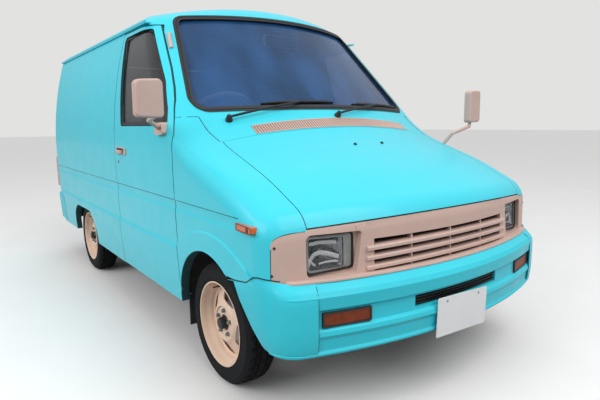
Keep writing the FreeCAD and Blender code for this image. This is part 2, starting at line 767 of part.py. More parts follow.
def build_floor():
    rails = []
    for sign in (-1, 1):
        rails.append(box((-1836, LOAD_STEP_X), side_span(sign, 440, 500), (384.3, LOAD_FLOOR_Z - FLOOR_T)))
        rails.append(box((FRONT_X - 340, 1780), side_span(sign, 400, 460), (372.3, 440)))
    cab = box((LOAD_STEP_X, FLOOR_END_X), (-755, 755), (CAB_FLOOR_Z - FLOOR_T, CAB_FLOOR_Z))
    sills = []
    for sign in (-1, 1):
        sills.append(box((REAR_ARCH[1] + 30, 930), side_span(sign, 660, 738), (SILL_Z, CAB_FLOOR_Z)))
    y = half_width(LOAD_FLOOR_Z - FLOOR_T, WALL + SEAT)
    load = prism([
        (-1838, -700), (-1838, 700), (-1770, y), (LOAD_STEP_X, y), (LOAD_STEP_X, -y), (-1770, -y),
    ], "xy", LOAD_FLOOR_Z - FLOOR_T, LOAD_FLOOR_Z)
    step = box((LOAD_STEP_X - FLOOR_T, LOAD_STEP_X), (-755, 755), (CAB_FLOOR_Z - FLOOR_T, LOAD_FLOOR_Z))
    floor = fuse_all([cab, load, step] + sills + rails)
    for low, high in ((-900, -479.7), (479.7, 900)):
        floor = floor.cut(rod((FRONT_X, low, ARCH_Z), (FRONT_X, high, ARCH_Z), ARCH_R + 52.3))
    add("floor_pan", floor)
    wall = box((FIREWALL_X, FIREWALL_X + 20), (-640, 640), (CAB_FLOOR_Z + 160, 1040))
    toe_x = FLOOR_END_X + 0.3
    heel = CAB_FLOOR_Z - FLOOR_T
    toe = prism([
        (toe_x, heel), (toe_x, CAB_FLOOR_Z), (FIREWALL_X, CAB_FLOOR_Z + 190),
        (FIREWALL_X + 20, CAB_FLOOR_Z + 190), (FIREWALL_X + 20, CAB_FLOOR_Z + 160), (toe_x + 20, heel),
    ], "xz", -399.7, 399.7)
    ledge = prism([
        (toe_x + 24, 440.3), (FIREWALL_X, CAB_FLOOR_Z + 190), (FIREWALL_X + 20, CAB_FLOOR_Z + 190),
        (FIREWALL_X + 20, CAB_FLOOR_Z + 160), (toe_x + 60, 440.3),
    ], "xz", -480, 480)
    pieces = [wall, toe, ledge]
    for sign in (-1, 1):
        liner = tube((FRONT_X, sign * 480, ARCH_Z), (FRONT_X, sign * 770, ARCH_Z), ARCH_R + 52, ARCH_R + 40)
        liner = liner.common(box((0, 2000), (-900, 900), (ARCH_Z + 20, 1000)))
        apron = prism([
            (FRONT_X - 380, 441), (FRONT_X - 340, 620), (FIREWALL_X, 720), (FIREWALL_X, 1000),
            (FRONT_X, 980), (FRONT_X + 380, 800), (FRONT_X + 480, 441),
        ], "xz", sign * 480 - 6, sign * 480 + 6)
        pieces.append(liner)
        pieces.append(apron)
    add("front_bulkhead", fuse_all(pieces))


def build_powertrain():
    block = fuse_all([
        box((FRONT_X - 100, FRONT_X + 330), (-190, 190), (340, 800)),
        box((FRONT_X - 60, FRONT_X + 250), (-150, 170), (790, 850)),
        rod((FRONT_X - 50, 0, 322), (FRONT_X - 560, 0, 318), 60),
        rod((FRONT_X - 560, 0, 318), (REAR_X + 105.3, 0, 278), 32),
    ])
    block = block.cut(box((FRONT_X - 40.3, FRONT_X + 40.3), (-420, 420), (180, 275.3)))
    add("powertrain", block.cut(Part.makeSphere(105.3, V(REAR_X, 0, WHEEL_Z))))
    top = LOAD_FLOOR_Z - FLOOR_T - SEAT
    add("fuel_tank", prism([
        (-700, 390, 40), (-700, top, 30), (-200, top, 30), (-200, 360, 60), (-620, 360, 40),
    ], "xz", -420, -110))
    pipe = rod((-250, 250, 320), (700, 250, 330), 20)
    silencer = rod((-640, 250, 330), (-250, 250, 330), 70)
    hangers = [box((x - 8, x + 8), (238, 262), (325, CAB_FLOOR_Z - FLOOR_T - SEAT)) for x in (30, 600)]
    add("exhaust", fuse_all([pipe, silencer] + hangers))


# Bumpers

def swept(profile, path):
    """Profile of (inset, z) points swept along a plan path that starts at the left rear."""
    start = path.Edges[0].valueAt(path.Edges[0].FirstParameter)
    ahead = path.Edges[0].tangentAt(path.Edges[0].FirstParameter)
    inward = V(-ahead.y, ahead.x, 0)
    points = [start + inward * d + V(0, 0, z - start.z) for d, z in profile]
    wire = Part.makePolygon(points + [points[0]])
    return path.makePipeShell([wire], True, False)


def bumper_path(x_face, x_end, y_side, corner, bow):
    """Plan path round one end, from the right rear to the left rear; the bow faces +X."""
    x_mid_corner = x_face
    r = (bow ** 2 + (y_side - corner) ** 2) / (2 * bow)
    y_tan = y_side - corner
    slope = math.asin(y_tan / r)
    x_arc = x_face - r + math.sqrt(r * r - y_tan * y_tan)
    turn = math.pi / 2 - slope
    centre = V(x_arc - corner * math.cos(slope), y_tan - corner * math.sin(slope), 0)
    y_out = centre.y + corner
    mid = centre + V(corner * math.cos(slope + turn / 2), corner * math.sin(slope + turn / 2), 0)
    flip_y = lambda p: V(p.x, -p.y, p.z)
    left = [V(x_end, y_out, 0), V(centre.x, y_out, 0), mid, V(x_arc, y_tan, 0)]
    edges = [
        Part.LineSegment(flip_y(left[0]), flip_y(left[1])).toShape(),
        Part.Arc(flip_y(left[1]), flip_y(left[2]), flip_y(left[3])).toShape(),
        Part.Arc(flip_y(left[3]), V(x_face, 0, 0), left[3]).toShape(),
        Part.Arc(left[3], left[2], left[1]).toShape(),
        Part.LineSegment(left[1], left[0]).toShape(),
    ]
    return Part.Wire(edges)


def outside_body(shape):
    """Part of a shape that lies outside the body, a hair clear of it."""
    return max(shape.cut(CLEAR_BODY).Solids, key=lambda s: s.Volume)


def build_bumpers():
    path = bumper_path(LENGTH / 2, FRONT_X + 190, HALF_WIDTH + 14, 120, 125)
    top = BUMPER_TOP_Z
    low = BUMPER_LOW_Z
    profile = [
        (80, top), (44, top), (10, top - 26), (0, top - 44), (4, 484), (18, 474), (18, 412),
        (4, 402), (1, 386), (9, 370), (12, low + 18), (6, low + 8), (8, low), (50, low),
        (50, 400), (60, 440), (60, 520), (80, 552),
    ]
    bumper = swept(profile, path)
    bumper = bumper.cut(arch_front(ARCH_R))
    bumper = bumper.cut(arch_front(ARCH_R + 30).common(box((0, 2000), (-815, 815), (0, 900))))
    rake = prism([(1400, 300), (1560, 460), (1690, 300), (1400, 220)], "xz", -1000, 1000)
    bumper = bumper.cut(rake)
    bumper = bumper.cut(box((1800, 2000), (-269, 269), (424, 472)))
    lamps = [box((1800, 2000), y, (414, 470)) for y in ((-668, -476), (476, 668))]
    for lamp in lamps:
        bumper = bumper.cut(lamp)
    add("front_bumper", outside_body(bumper))
    band = swept([(12, 414.3), (12, 469.7), (44, 469.7), (44, 414.3)], path)
    seats = [box((1800, 2000), y, (400, 480)) for y in ((-667.7, -476.3), (476.3, 667.7))]
    add("turn_signals", Part.makeCompound([band.common(seat).Solids[0] for seat in seats]))
    rear = bumper_path(LENGTH / 2, 1640, HALF_WIDTH + 8, 90, 40)
    bar = swept([
        (80, 560), (40, 560), (6, 540), (0, 520), (8, 400),
        (14, 310), (60, 310), (50, 400), (50, 520), (80, 540),
    ], rear)
    add("rear_bumper", outside_body(bar.mirror(V(0, 0, 0), V(1, 0, 0))))


# Small outside pieces

def build_lamps():
    points = [(1559, 752, 8), (1559, 780, 4), (1666, 777, 4), (1672, 750, 8)]
    marker = prism(points, "xz", -HALF_WIDTH - 10, -HALF_WIDTH + 60)
    marker = marker.cut(CLEAR_BODY)
    add("side_markers", Part.makeCompound([marker.Solids[0], flip(marker.Solids[0])]))
    lamp = outside_body(box((-1893, -1800), (-835, -742), (600, 860)))
    add("tail_lamps", Part.makeCompound([lamp, flip(lamp)]))


def stalk(points, r):
    """Bent round bar through the points."""
    pieces = [rod(a, b, r) for a, b in zip(points, points[1:])]
    pieces += [Part.makeSphere(r, V(*p)) for p in points[1:-1]]
    return fuse_all(pieces)


def build_mirrors():
    far = MIRROR_REACH
    head = prism([(-930, 1168, 20), (-930, 1332, 24), (-far + 2, 1326, 24), (-far, 1172, 20)], "yz", 1062, 1106)
    head = head.makeFillet(9, [e for e in head.Edges if abs(middle_of(e).x - 1106) < 0.1])
    foot = prism([(780, 1092, 14), (776, 1150, 14), (872, 1152, 14), (884, 1094, 14)], "xz", -862, -800)
    foot = foot.cut(CLEAR_BODY)
    arm = stalk([(838, -856, 1122), (905, -930, 1160), (1075, -952, 1182)], 10)
    add("mirror_right", fuse_all([head, foot, arm]))
    head = prism([(945, 1132, 20), (far, 1138, 20), (far - 2, 1330, 24), (945, 1326, 24)], "yz", 1232, 1276)
    head = head.makeFillet(9, [e for e in head.Edges if abs(middle_of(e).x - 1276) < 0.1])
    foot = surface_point(775, 1010)
    arm = stalk([
        (foot.x + 1, 775, 1010), (foot.x + 42, 800, 1070), (1250, 975, 1110), (1250, 985, 1150),
    ], 10)
    add("mirror_left", outside_body(head.fuse(arm).removeSplitter()))
    points = [(-115, 1590, 20), (-115, 1650, 20), (115, 1650, 20), (115, 1590, 20)]
    inside = prism(points, "yz", 600, 618)
    stem = rod((609, 0, 1635), (520, 0, 1790), 8).common(INNER_ROOM)
    add("cabin_mirror", inside.fuse(stem).removeSplitter())


def build_cab():
    front = FIREWALL_X - SEAT
    dash = prism([
        (front, 1036), (900, 1120, 40), (790, 1060, 50), (830, 840, 30), (front, 780),
    ], "xz", -700, 700)
    dash = dash.common(INNER_ROOM)
    y = -400
    centre = V(560, y, 1190)
    lean = math.radians(52)
    axis = V(-math.cos(lean), 0, math.sin(lean))
    across = V(0, 1, 0)
    corners = []
    for i in range(8):
        angle = math.radians(22.5 + 45 * i)
        corners.append(centre + across * (185 + 14 * math.cos(angle)) + axis * 14 * math.sin(angle))
    ring = Part.Face(Part.makePolygon(corners + [corners[0]])).revolve(centre, axis, 360)
    hub = Part.makeCylinder(42, 50, centre - axis * 40, axis)
    spokes = []
    side = V(0, 1, 0)
    for way in (side, side * -1):
        spokes.append(Part.makeCylinder(8, 180, centre - axis * 3, way))
    down = axis.cross(side)
    spokes.append(Part.makeCylinder(8, 180, centre - axis * 3, down if down.z < 0 else down * -1))
    add("steering_wheel", fuse_all([ring, hub] + spokes))
    start = centre - axis * (460 + SEAT)
    add("steering_column", Part.makeCylinder(30, 420, start, axis))
    add("dashboard", dash.cut(Part.makeCylinder(30 + SEAT, 460, start - axis * 40, axis)))
    for name, sign in (("seat_driver", -1), ("seat_passenger", 1)):
        low, high = sorted((sign * 150, sign * 640))
        cushion = prism([(-20, 700, 40), (-20, 820, 40), (470, 850, 60), (480, 730, 50)], "xz", low, high)
        back = prism([(-20, 760, 30), (-170, 1420, 50), (-70, 1440, 50), (110, 790, 30)], "xz", low + 10, high - 10)
        base = box((20, 420), (low + 40, high - 40), (CAB_FLOOR_Z, 716))
        add(name, fuse_all([cushion, back, base]))


def build_small():
    flaps = []
    x = FRONT_X - ARCH_R - 52
    for sign in (-1, 1):
        flaps.append(box((x, x + 6), side_span(sign, 610, 770), (140, 300)))
    add("mudflaps", Part.makeCompound(flaps))
    blades = []
    for (y_low, z_low), (y_high, z_high) in WIPERS:
        pivot = surface_point(y_low, z_low)
        post = rod(tuple(pivot - V(8, 0, 4)), tuple(pivot + V(20, 0, 24)), 12)
        way = []
        for step in (0, 1 / 3, 2 / 3, 1):
            point = surface_point(y_low + step * (y_high - y_low), z_low + step * (z_high - z_low))
            way.append(tuple(point + V(13, 0, 11)))
        blades.append(outside_body(post.fuse(stalk(way, 6))))
    add("wipers", Part.makeCompound(blades))


def surface_point(y, z):
    """Point of the nose surface at a given y and height, near the windscreen's foot."""
    probe = Part.makeLine(V(0, y, z), V(2000, y, z))
    hits = probe.common(PROBE_BODY)
    return V(hits.BoundBox.XMax, y, z)


os.makedirs("parts", exist_ok=True)
PROBE_BODY = body_solid(0)
CLEAR_BODY = body_solid(-0.4)
INNER_ROOM = body_solid(WALL + SEAT)
SHELL_LEDGE = INNER_ROOM.cut(body_solid(WALL + 8))
SHELL_LEDGE_ROOT = body_solid(WALL - 8).cut(body_solid(WALL + 8))
SHELL = PROBE_BODY.cut(body_solid(WALL))
build_body(PROBE_BODY, SHELL)
build_vent()
build_screen()
build_wheels()
build_running_gear()
build_floor()
build_powertrain()
build_bumpers()
build_lamps()
build_mirrors()
build_cab()
build_small()
for name, shape in PARTS.items():
    shape.exportStep("parts/%s.step" % name)
    print(name, len(shape.Solids), shape.isValid(), round(shape.Volume / 1e6, 2), len(shape.Faces))
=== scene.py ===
import json
import math

import bmesh
import bpy
from mathutils import Matrix, Vector
from mathutils.bvhtree import BVHTree


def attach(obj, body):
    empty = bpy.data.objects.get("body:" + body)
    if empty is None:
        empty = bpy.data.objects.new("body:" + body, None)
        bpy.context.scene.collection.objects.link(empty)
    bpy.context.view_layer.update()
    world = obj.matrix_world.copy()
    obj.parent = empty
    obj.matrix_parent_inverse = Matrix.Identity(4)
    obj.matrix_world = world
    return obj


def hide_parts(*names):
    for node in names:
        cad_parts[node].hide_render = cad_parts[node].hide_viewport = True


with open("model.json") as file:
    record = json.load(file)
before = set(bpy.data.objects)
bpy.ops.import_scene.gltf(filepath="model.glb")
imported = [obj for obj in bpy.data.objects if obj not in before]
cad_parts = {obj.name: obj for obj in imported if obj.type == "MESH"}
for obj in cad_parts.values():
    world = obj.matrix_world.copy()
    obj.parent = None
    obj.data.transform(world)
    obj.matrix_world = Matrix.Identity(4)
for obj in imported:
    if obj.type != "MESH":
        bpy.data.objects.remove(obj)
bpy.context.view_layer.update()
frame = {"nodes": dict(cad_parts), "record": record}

# Small bonneted panel van. Metres, X forward, Y left, Z up.

NODES = frame["nodes"]
SIDES = (("right", -1), ("left", 1))

# Places repeated from the part's source
FRONT_X, REAR_X = 1.261, -0.963
WHEEL_Y, WHEEL_Z = 0.724, 0.272
LENGTH_HALF = 1.950
STEERING = Vector((0.560, -0.400, 1.190))
STEERING_LEAN = math.radians(52)


# Colours and finishes

def srgb(r, g, b):
    """Linear colour from 0-255 values as seen on a screen."""
    def linear(v):
        v /= 255
        return v / 12.92 if v <= 0.04045 else ((v + 0.055) / 1.055) ** 2.4
    return (linear(r), linear(g), linear(b), 1.0)


def scaled(colour, factor):
    return tuple(min(1.0, v * factor) for v in colour[:3]) + (1.0,)


class Nodes:
    """Short way to add and join shader nodes of a material or world."""

    def __init__(self, owner):
        owner.use_nodes = True
        self.owner, self.tree = owner, owner.node_tree
        self.shader = self.tree.nodes.get("Principled BSDF")

    def add(self, kind, **values):
        node = self.tree.nodes.new(kind)
        for key, value in values.items():
            if key in node.inputs:
                node.inputs[key].default_value = value
            else:
                setattr(node, key, value)
        return node

    def join(self, source, target):
        self.tree.links.new(source, target)

    def fix(self, **values):
        """Plain values of the shader, with _ for the spaces in their names."""
        for key, value in values.items():
            self.shader.inputs[key.replace("_", " ")].default_value = value

    def place(self):
        return self.add("ShaderNodeTexCoord").outputs["Object"]

    def axes(self, place):
        node = self.add("ShaderNodeSeparateXYZ")
        self.join(place, node.inputs[0])
        return node.outputs

    def noise(self, scale, detail=3.0, place=None):
        node = self.add("ShaderNodeTexNoise", Scale=scale, Detail=detail)
        self.join(place or self.place(), node.inputs["Vector"])
        return node.outputs["Fac"]

    def wave(self, axis, per_metre):
        node = self.add("ShaderNodeTexWave", bands_direction=axis, Scale=per_metre / 3.2)
        self.join(self.place(), node.inputs["Vector"])
        return node.outputs["Fac"]

    def spread(self, value, low, high, to_low=0.0, to_high=1.0):
        node = self.add("ShaderNodeMapRange")
        ends = (("From Min", low), ("From Max", high), ("To Min", to_low), ("To Max", to_high))
        for key, number in ends:
            node.inputs[key].default_value = number
        self.join(value, node.inputs["Value"])
        return node.outputs["Result"]

    def feed(self, pairs):
        """Puts a value or a joined socket into each input."""
        for socket, value in pairs:
            if isinstance(value, (int, float, tuple)):
                socket.default_value = value
            else:
                self.join(value, socket)

    def blend(self, factor, first, second):
        """Mix of two colours, each a value or a socket."""
        node = self.add("ShaderNodeMix", data_type="RGBA")
        self.join(factor, node.inputs[0])
        self.feed(((node.inputs[6], first), (node.inputs[7], second)))
        return node.outputs[2]

    def maths(self, operation, first, second=0.0):
        node = self.add("ShaderNodeMath", operation=operation)
        self.feed(((node.inputs[0], first), (node.inputs[1], second)))
        return node.outputs[0]

    def bump(self, height, depth):
        node = self.add("ShaderNodeBump", Strength=1.0, Distance=depth)
        self.join(height, node.inputs["Height"])
        self.join(node.outputs["Normal"], self.shader.inputs["Normal"])


def shader(name):
    return Nodes(bpy.data.materials.new(name))


def finish(name, colour, roughness, metallic=0.0, coat=0.0, vary=0.05, vary_scale=3.0,
           grain_scale=400.0, grain_depth=0.0, grime=0.0, specular=0.5, hollow=None):
    """Colour drift, uneven gloss, fine grain, dust low down and painted shade that darkens the colour deep in
    the louvres; hollow is (x of the skin in the middle, its bow, half-width of the louvres)."""
    n = shader(name)
    drift = n.spread(n.noise(vary_scale), 0.3, 0.7)
    colour_now = n.blend(drift, scaled(colour, 1 - vary), scaled(colour, 1 + vary))
    rough_now = n.spread(n.noise(vary_scale * 7), 0.3, 0.7, roughness - 0.04, roughness + 0.06)
    axes = n.axes(n.place()) if grime or hollow else None
    if grime:
        low = n.spread(axes["Z"], 0.22, 0.62, grime, 0.0)
        dust = n.maths("MULTIPLY", low, n.spread(n.noise(14, 6), 0.35, 0.65, 0.2, 1.0))
        colour_now = n.blend(dust, colour_now, srgb(120, 112, 100))
        rough_now = n.maths("ADD", rough_now, n.maths("MULTIPLY", dust, 0.4))
    # Painted shade: the colour goes near black with depth behind the fascia skin, within the louvres
    if hollow:
        front, bow, reach = hollow
        bend = n.maths("MULTIPLY", n.maths("MULTIPLY", axes["Y"], axes["Y"]), bow)
        skin_x = n.maths("SUBTRACT", front, bend)
        depth = n.spread(n.maths("SUBTRACT", skin_x, axes["X"]), 0.006, 0.034, 0.0, 0.93)
        inside = n.maths("LESS_THAN", n.maths("ABSOLUTE", axes["Y"]), reach)
        colour_now = n.blend(n.maths("MULTIPLY", depth, inside), colour_now, srgb(26, 22, 20))
    n.join(colour_now, n.shader.inputs["Base Color"])
    n.join(rough_now, n.shader.inputs["Roughness"])
    n.fix(Metallic=metallic, Specular_IOR_Level=specular)
    if coat:
        n.fix(Coat_Weight=coat, Coat_Roughness=0.04)
    if grain_depth:
        n.bump(n.noise(grain_scale, 4), grain_depth)
    return n.owner


def glass(name, colour, alpha, roughness=0.02, coat=1.0, specular=0.5, ribs=None):
    """Tinted sheet glass; ribs is (axis letter, ribs per metre, depth)."""
    n = shader(name)
    stretch = n.add("ShaderNodeMapping")
    stretch.inputs["Scale"].default_value = (1.0, 2.2, 0.8)
    n.join(n.place(), stretch.inputs["Vector"])
    drift = n.spread(n.noise(2.4, 2, stretch.outputs["Vector"]), 0.35, 0.65)
    tint = n.blend(drift, scaled(colour, 0.74), scaled(colour, 1.28))
    n.join(tint, n.shader.inputs["Base Color"])
    n.fix(Roughness=roughness, Alpha=alpha, Specular_IOR_Level=specular,
          Coat_Weight=coat, Coat_Roughness=0.01)
    if ribs:
        axis, count, depth = ribs
        n.bump(n.wave(axis, count), depth)
    return n.owner


def fabric(name, colour, threads, depth):
    """Woven cloth: two crossed waves, colour specks and sheen."""
    n = shader(name)
    weave = n.maths("MULTIPLY", n.wave("X", threads), n.wave("Z", threads))
    specks = n.blend(n.spread(n.noise(260, 5), 0.35, 0.65), scaled(colour, 0.7), scaled(colour, 1.35))
    n.join(specks, n.shader.inputs["Base Color"])
    n.fix(Roughness=0.9, Sheen_Weight=0.35)
    n.bump(weave, depth)
    return n.owner


BEIGE = srgb(200, 171, 160)
BEIGE_GRAIN = dict(vary_scale=5, grain_scale=300, grain_depth=0.00008)
LENS_GRAIN = dict(vary_scale=40, grain_scale=120, grain_depth=0.0005)
M = {
    "paint": finish("gloss turquoise paint", srgb(60, 208, 226), 0.34, coat=0.18, vary=0.02,
                    vary_scale=1.2, grime=0.06, specular=0.25),
    "bumper": finish("moulded turquoise bumper", srgb(52, 204, 222), 0.42, coat=0.1, vary=0.03,
                     grime=0.08, specular=0.25),
    "inner": finish("shaded inner paint", srgb(20, 66, 72), 0.6, vary=0.1),
    # Dark joints between panels, and painted shadow along the belt line crease
    "seam": finish("dark seam and painted crease shadow", srgb(16, 52, 58), 0.7, vary=0.1),
    "beige": finish("satin beige plastic", BEIGE, 0.5, **BEIGE_GRAIN),
    # Beige of the grille, with painted shade deep in the louvres
    "louvre": finish("beige plastic with painted shade in the louvres", BEIGE, 0.5, hollow=(1.8715, 0.191, 0.448), **BEIGE_GRAIN),
    "fin_shade": finish("shaded beige plastic", srgb(134, 110, 100), 0.6, vary=0.1),
    "wheel": finish("satin tan wheel paint", srgb(230, 202, 180), 0.42, coat=0.15, vary=0.06,
                    vary_scale=9),
    "glass": glass("windscreen glass", srgb(40, 85, 134), 0.58, 0.08, 0.1, 0.4),
    # Dark, fairly opaque tint: partly the glass, partly painted shade of the cab behind it
    "side_glass": glass("side window glass", srgb(26, 34, 38), 0.62, coat=0.5),
    "lens": glass("fluted lamp glass", srgb(120, 128, 134), 0.08, coat=0.4, ribs=("Y", 130, 0.0012)),
    "chrome": finish("satin lamp reflector", srgb(129, 132, 136), 0.25, 0.9, vary=0.1, vary_scale=40),
    # Near-white painted highlight for the glints on the headlamp reflectors
    "facet": finish("bright reflector facet", srgb(213, 215, 215), 0.22, coat=0.6, vary=0.06,
                    vary_scale=90),
    "amber": finish("amber lens plastic", srgb(196, 92, 26), 0.25, coat=0.5, vary=0.2, **LENS_GRAIN),
    "amber_dark": finish("smoked amber plastic", srgb(118, 48, 18), 0.4, vary=0.2, vary_scale=40,
                         specular=0.25),
    "red": finish("red lens plastic", srgb(150, 20, 24), 0.22, coat=0.5, vary=0.15, **LENS_GRAIN),
    "rubber": finish("dark grey seal rubber", srgb(40, 41, 44), 0.62, vary=0.12, vary_scale=8),
    "tyre": finish("tyre rubber", srgb(26, 27, 29), 0.88, vary=0.15, vary_scale=10,
                   grain_scale=200, grain_depth=0.0002, specular=0.2),
    "black": finish("satin black plastic", srgb(20, 21, 23), 0.5, vary=0.15, vary_scale=12),
    "dash": finish("grained brown dashboard", srgb(92, 68, 62), 0.62, vary=0.1, vary_scale=6,
                   grain_scale=300, grain_depth=0.0004),
    "rim": finish("steering rim plastic", srgb(236, 214, 208), 0.45, vary=0.08),
    "pale": finish("pale mirror plastic", srgb(240, 236, 224), 0.5),
    "cloth": fabric("grey seat cloth", srgb(92, 94, 100), 420, 0.0008),
    "lining": fabric("pale roof cloth", srgb(150, 148, 140), 300, 0.0005),
    "metal": finish("dark cast metal", srgb(46, 46, 48), 0.6, 0.6, vary=0.25, vary_scale=9,
                    grain_scale=160, grain_depth=0.0006),
    "bright": finish("polished reflector", srgb(176, 180, 186), 0.10, 1.0, vary=0.04),
    "steel": finish("zinc plated steel", srgb(132, 136, 134), 0.38, 0.8, vary=0.1, vary_scale=30),
    "underbody": finish("satin dark underbody", srgb(34, 36, 37), 0.8, vary=0.2, vary_scale=6,
                        grime=0.3),
    "plate": finish("white enamel plate", srgb(226, 228, 230), 0.35, coat=0.3, vary=0.02,
                    vary_scale=8),
    # Near black: the real colour of the instrument faces and wiper rubbers, and painted shade for the bumper
    # slot bed, radiator shroud, handle wells and key slots
    "black_and_painted_shade": finish("unlit black hollow", srgb(9, 9, 10), 0.9, vary=0.2),
}
# Finish of a CAD node by the slot in the record, and of the nodes that differ from their slot
SLOT_FINISH = {
    "paint": "paint", "bumper_paint": "bumper", "beige_plastic": "beige", "wheel_paint": "wheel",
    "glass": "glass", "lamp_glass": "lens", "amber_lens": "amber", "red_lens": "red",
    "rubber": "rubber", "tyre": "tyre", "black_plastic": "black", "dash_plastic": "dash",
    "rim_plastic": "rim", "seat_fabric": "cloth", "dark_metal": "metal", "underbody": "underbody",
}
NODE_FINISH = {
    "grille_panel": "louvre", "cowl_vent": "fin_shade", "turn_signals": "amber_dark",
    "door_right_glass": "side_glass", "door_left_glass": "side_glass", "tailgate_glass": "side_glass",
}
# Slot of a piece made here, by its finish
PIECE_SLOT = {
    "paint": "paint", "bumper": "bumper_paint", "plate": "bumper_paint", "wheel": "wheel_paint",
    "beige": "beige_plastic", "fin_shade": "beige_plastic", "bright": "glass", "lens": "lamp_glass",
    "chrome": "lamp_glass", "facet": "lamp_glass", "amber": "amber_lens", "amber_dark": "amber_lens",
    "rubber": "rubber", "seam": "rubber", "inner": "rubber", "tyre": "tyre",
    "black": "black_plastic", "black_and_painted_shade": "black_plastic", "pale": "black_plastic",
    "dash": "dash_plastic", "rim": "rim_plastic", "cloth": "seat_fabric", "lining": "seat_fabric",
    "steel": "dark_metal", "underbody": "underbody",
}
# Node, and the directions from which its outer skin is seen
SKINS = (
    ("side_panel_right", (0, -1, 0), (-1, 0, 0), (-0.7, -0.7, 0)),
    ("side_panel_left", (0, 1, 0), (-1, 0, 0), (-0.7, 0.7, 0)),
    ("door_right", (0, -1, 0)), ("door_left", (0, 1, 0)),
    ("fender_right", (0.45, -0.7, 0.55)), ("fender_left", (0.45, 0.7, 0.55)),
    ("hood", (0.6, 0, 0.8)), ("tailgate", (-1, 0, 0)),
)
SKIN_PROBE, SKIN_REACH = 0.0015, 0.0047


def dress_cad():
    """Gives every CAD node its finish; inner faces and edges of panels get the shaded paint."""
    for part in frame["record"]["subparts"]:
        materials = NODES[part["node"]].data.materials
        materials.clear()
        materials.append(M[NODE_FINISH.get(part["node"], SLOT_FINISH[part["material_slot"]])])
    for name, *views in SKINS:
        node = NODES[name]
        node.data.materials.append(M["inner"])
        views = [Vector(view).normalized() for view in views]
        for face in node.data.polygons:
            under = node.matrix_world @ face.center - face.normal * SKIN_PROBE
            spots = [cast(name, under + view * 2.0, -view)[0] for view in views]
            seen_one = any(spot and (spot - under).length <= SKIN_REACH for spot in spots)
            face.material_index = 0 if seen_one else 1


# Making pieces

def as_mesh(bm):
    """Mesh of a bmesh, its faces turned outward."""
    bmesh.ops.recalc_face_normals(bm, faces=bm.faces)
    mesh = bpy.data.meshes.new("piece")
    bm.to_mesh(mesh)
    bm.free()
    return mesh


def link(name, data):
    thing = bpy.data.objects.new(name, data)
    bpy.context.scene.collection.objects.link(thing)
    return thing


def final_mesh(thing):
    """Mesh of an object with its modifiers or curve settings applied."""
    bpy.context.view_layer.update()
    return bpy.data.meshes.new_from_object(thing.evaluated_get(bpy.context.evaluated_depsgraph_get()))


def keep(shape, name, material, body="body", slot=None, smooth=35, replaces=()):
    """Mesh or bmesh as a piece that rides on a body."""
    mesh = as_mesh(shape) if isinstance(shape, bmesh.types.BMesh) else shape
    mesh.name = name
    piece = link(name, mesh)
    mesh.materials.append(M[material])
    for face in mesh.polygons:
        face.use_smooth = True
    mesh.set_sharp_from_angle(angle=math.radians(smooth))
    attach(piece, body)
    slot or PIECE_SLOT[material]
    if replaces:
        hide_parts(*replaces)
    return piece


def skin(bm, rings, loop=False):
    """Faces between closed rings of points; loop joins the last ring to the first, else both are capped."""
    for here, there in zip(rings, rings[1:] + (rings[:1] if loop else [])):
        for j in range(len(here)):
            k = (j + 1) % len(here)
            bm.faces.new((here[j], here[k], there[k], there[j]))
    if not loop:
        bm.faces.new(rings[0][::-1])
        bm.faces.new(rings[-1])


def from_points(points, faces):
    bm = bmesh.new()
    spots = [bm.verts.new(p) for p in points]
    for face in faces:
        bm.faces.new([spots[i] for i in face])
    return bm


def bevel(piece, width, angle=40):
    change = piece.modifiers.new("bevel", "BEVEL")
    change.width = width
    change.segments = 2
    change.limit_method = "ANGLE"
    change.angle_limit = math.radians(angle)
    change.harden_normals = False
    return piece


def block(name, low, high, material, body="body", radius=0.004):
    """Box with rounded edges between two opposite corners."""
    bm = bmesh.new()
    bmesh.ops.create_cube(bm, size=1.0)
    low, high = Vector(low), Vector(high)
    for vert in bm.verts:
        vert.co = Vector(a * abs(b) for a, b in zip(vert.co, high - low))
    bmesh.ops.bevel(bm, geom=bm.edges[:], offset=radius, segments=3, profile=0.5, affect="EDGES")
    bmesh.ops.translate(bm, vec=(low + high) / 2, verts=bm.verts)
    return keep(bm, name, material, body)


def turned(profile, segments, place, closed=True, shift=None):
    """Turned shape from (radius, offset) points; place maps (radius, offset, angle) to a point."""
    count = len(profile)
    points, faces = [], []
    for i in range(segments):
        angle = 2 * math.pi * i / segments
        for radius, offset in profile:
            points.append(place(radius + (shift(i, offset, radius) if shift else 0.0), offset, angle))
    for i in range(segments):
        here, there = i * count, (i + 1) % segments * count
        for j in range(count if closed else count - 1):
            k = (j + 1) % count
            faces.append((here + j, here + k, there + k, there + j))
    return from_points(points, faces)


def axle_place(x, sign):
    def place(radius, offset, angle):
        return Vector((x + radius * math.cos(angle), sign * (WHEEL_Y + offset),
                       WHEEL_Z + radius * math.sin(angle)))
    return place


def axis_place(origin, axis):
    """Place for pieces turned about any axis."""
    axis = Vector(axis).normalized()
    side = axis.orthogonal().normalized()
    up = axis.cross(side)

    def place(radius, offset, angle):
        return Vector(origin) + axis * offset + (side * math.cos(angle) + up * math.sin(angle)) * radius
    return place


def knob(name, origin, axis, profile, material, body="body", segments=32, replaces=()):
    """Turned piece about an axis from (radius, offset) points, closed at the axis."""
    bm = turned(profile, segments, axis_place(origin, axis), closed=False)
    bmesh.ops.recalc_face_normals(bm, faces=bm.faces)
    bmesh.ops.remove_doubles(bm, verts=bm.verts, dist=1e-5)
    return keep(bm, name, material, body, replaces=replaces)


def torus(name, centre, axis, radius, thick, material, body="body", replaces=()):
    turns = [2 * math.pi * k / 14 for k in range(14)]
    profile = [(radius + thick * math.cos(a), thick * math.sin(a)) for a in turns]
    return keep(turned(profile, 96, axis_place(centre, axis)), name, material, body, smooth=60,
                replaces=replaces)


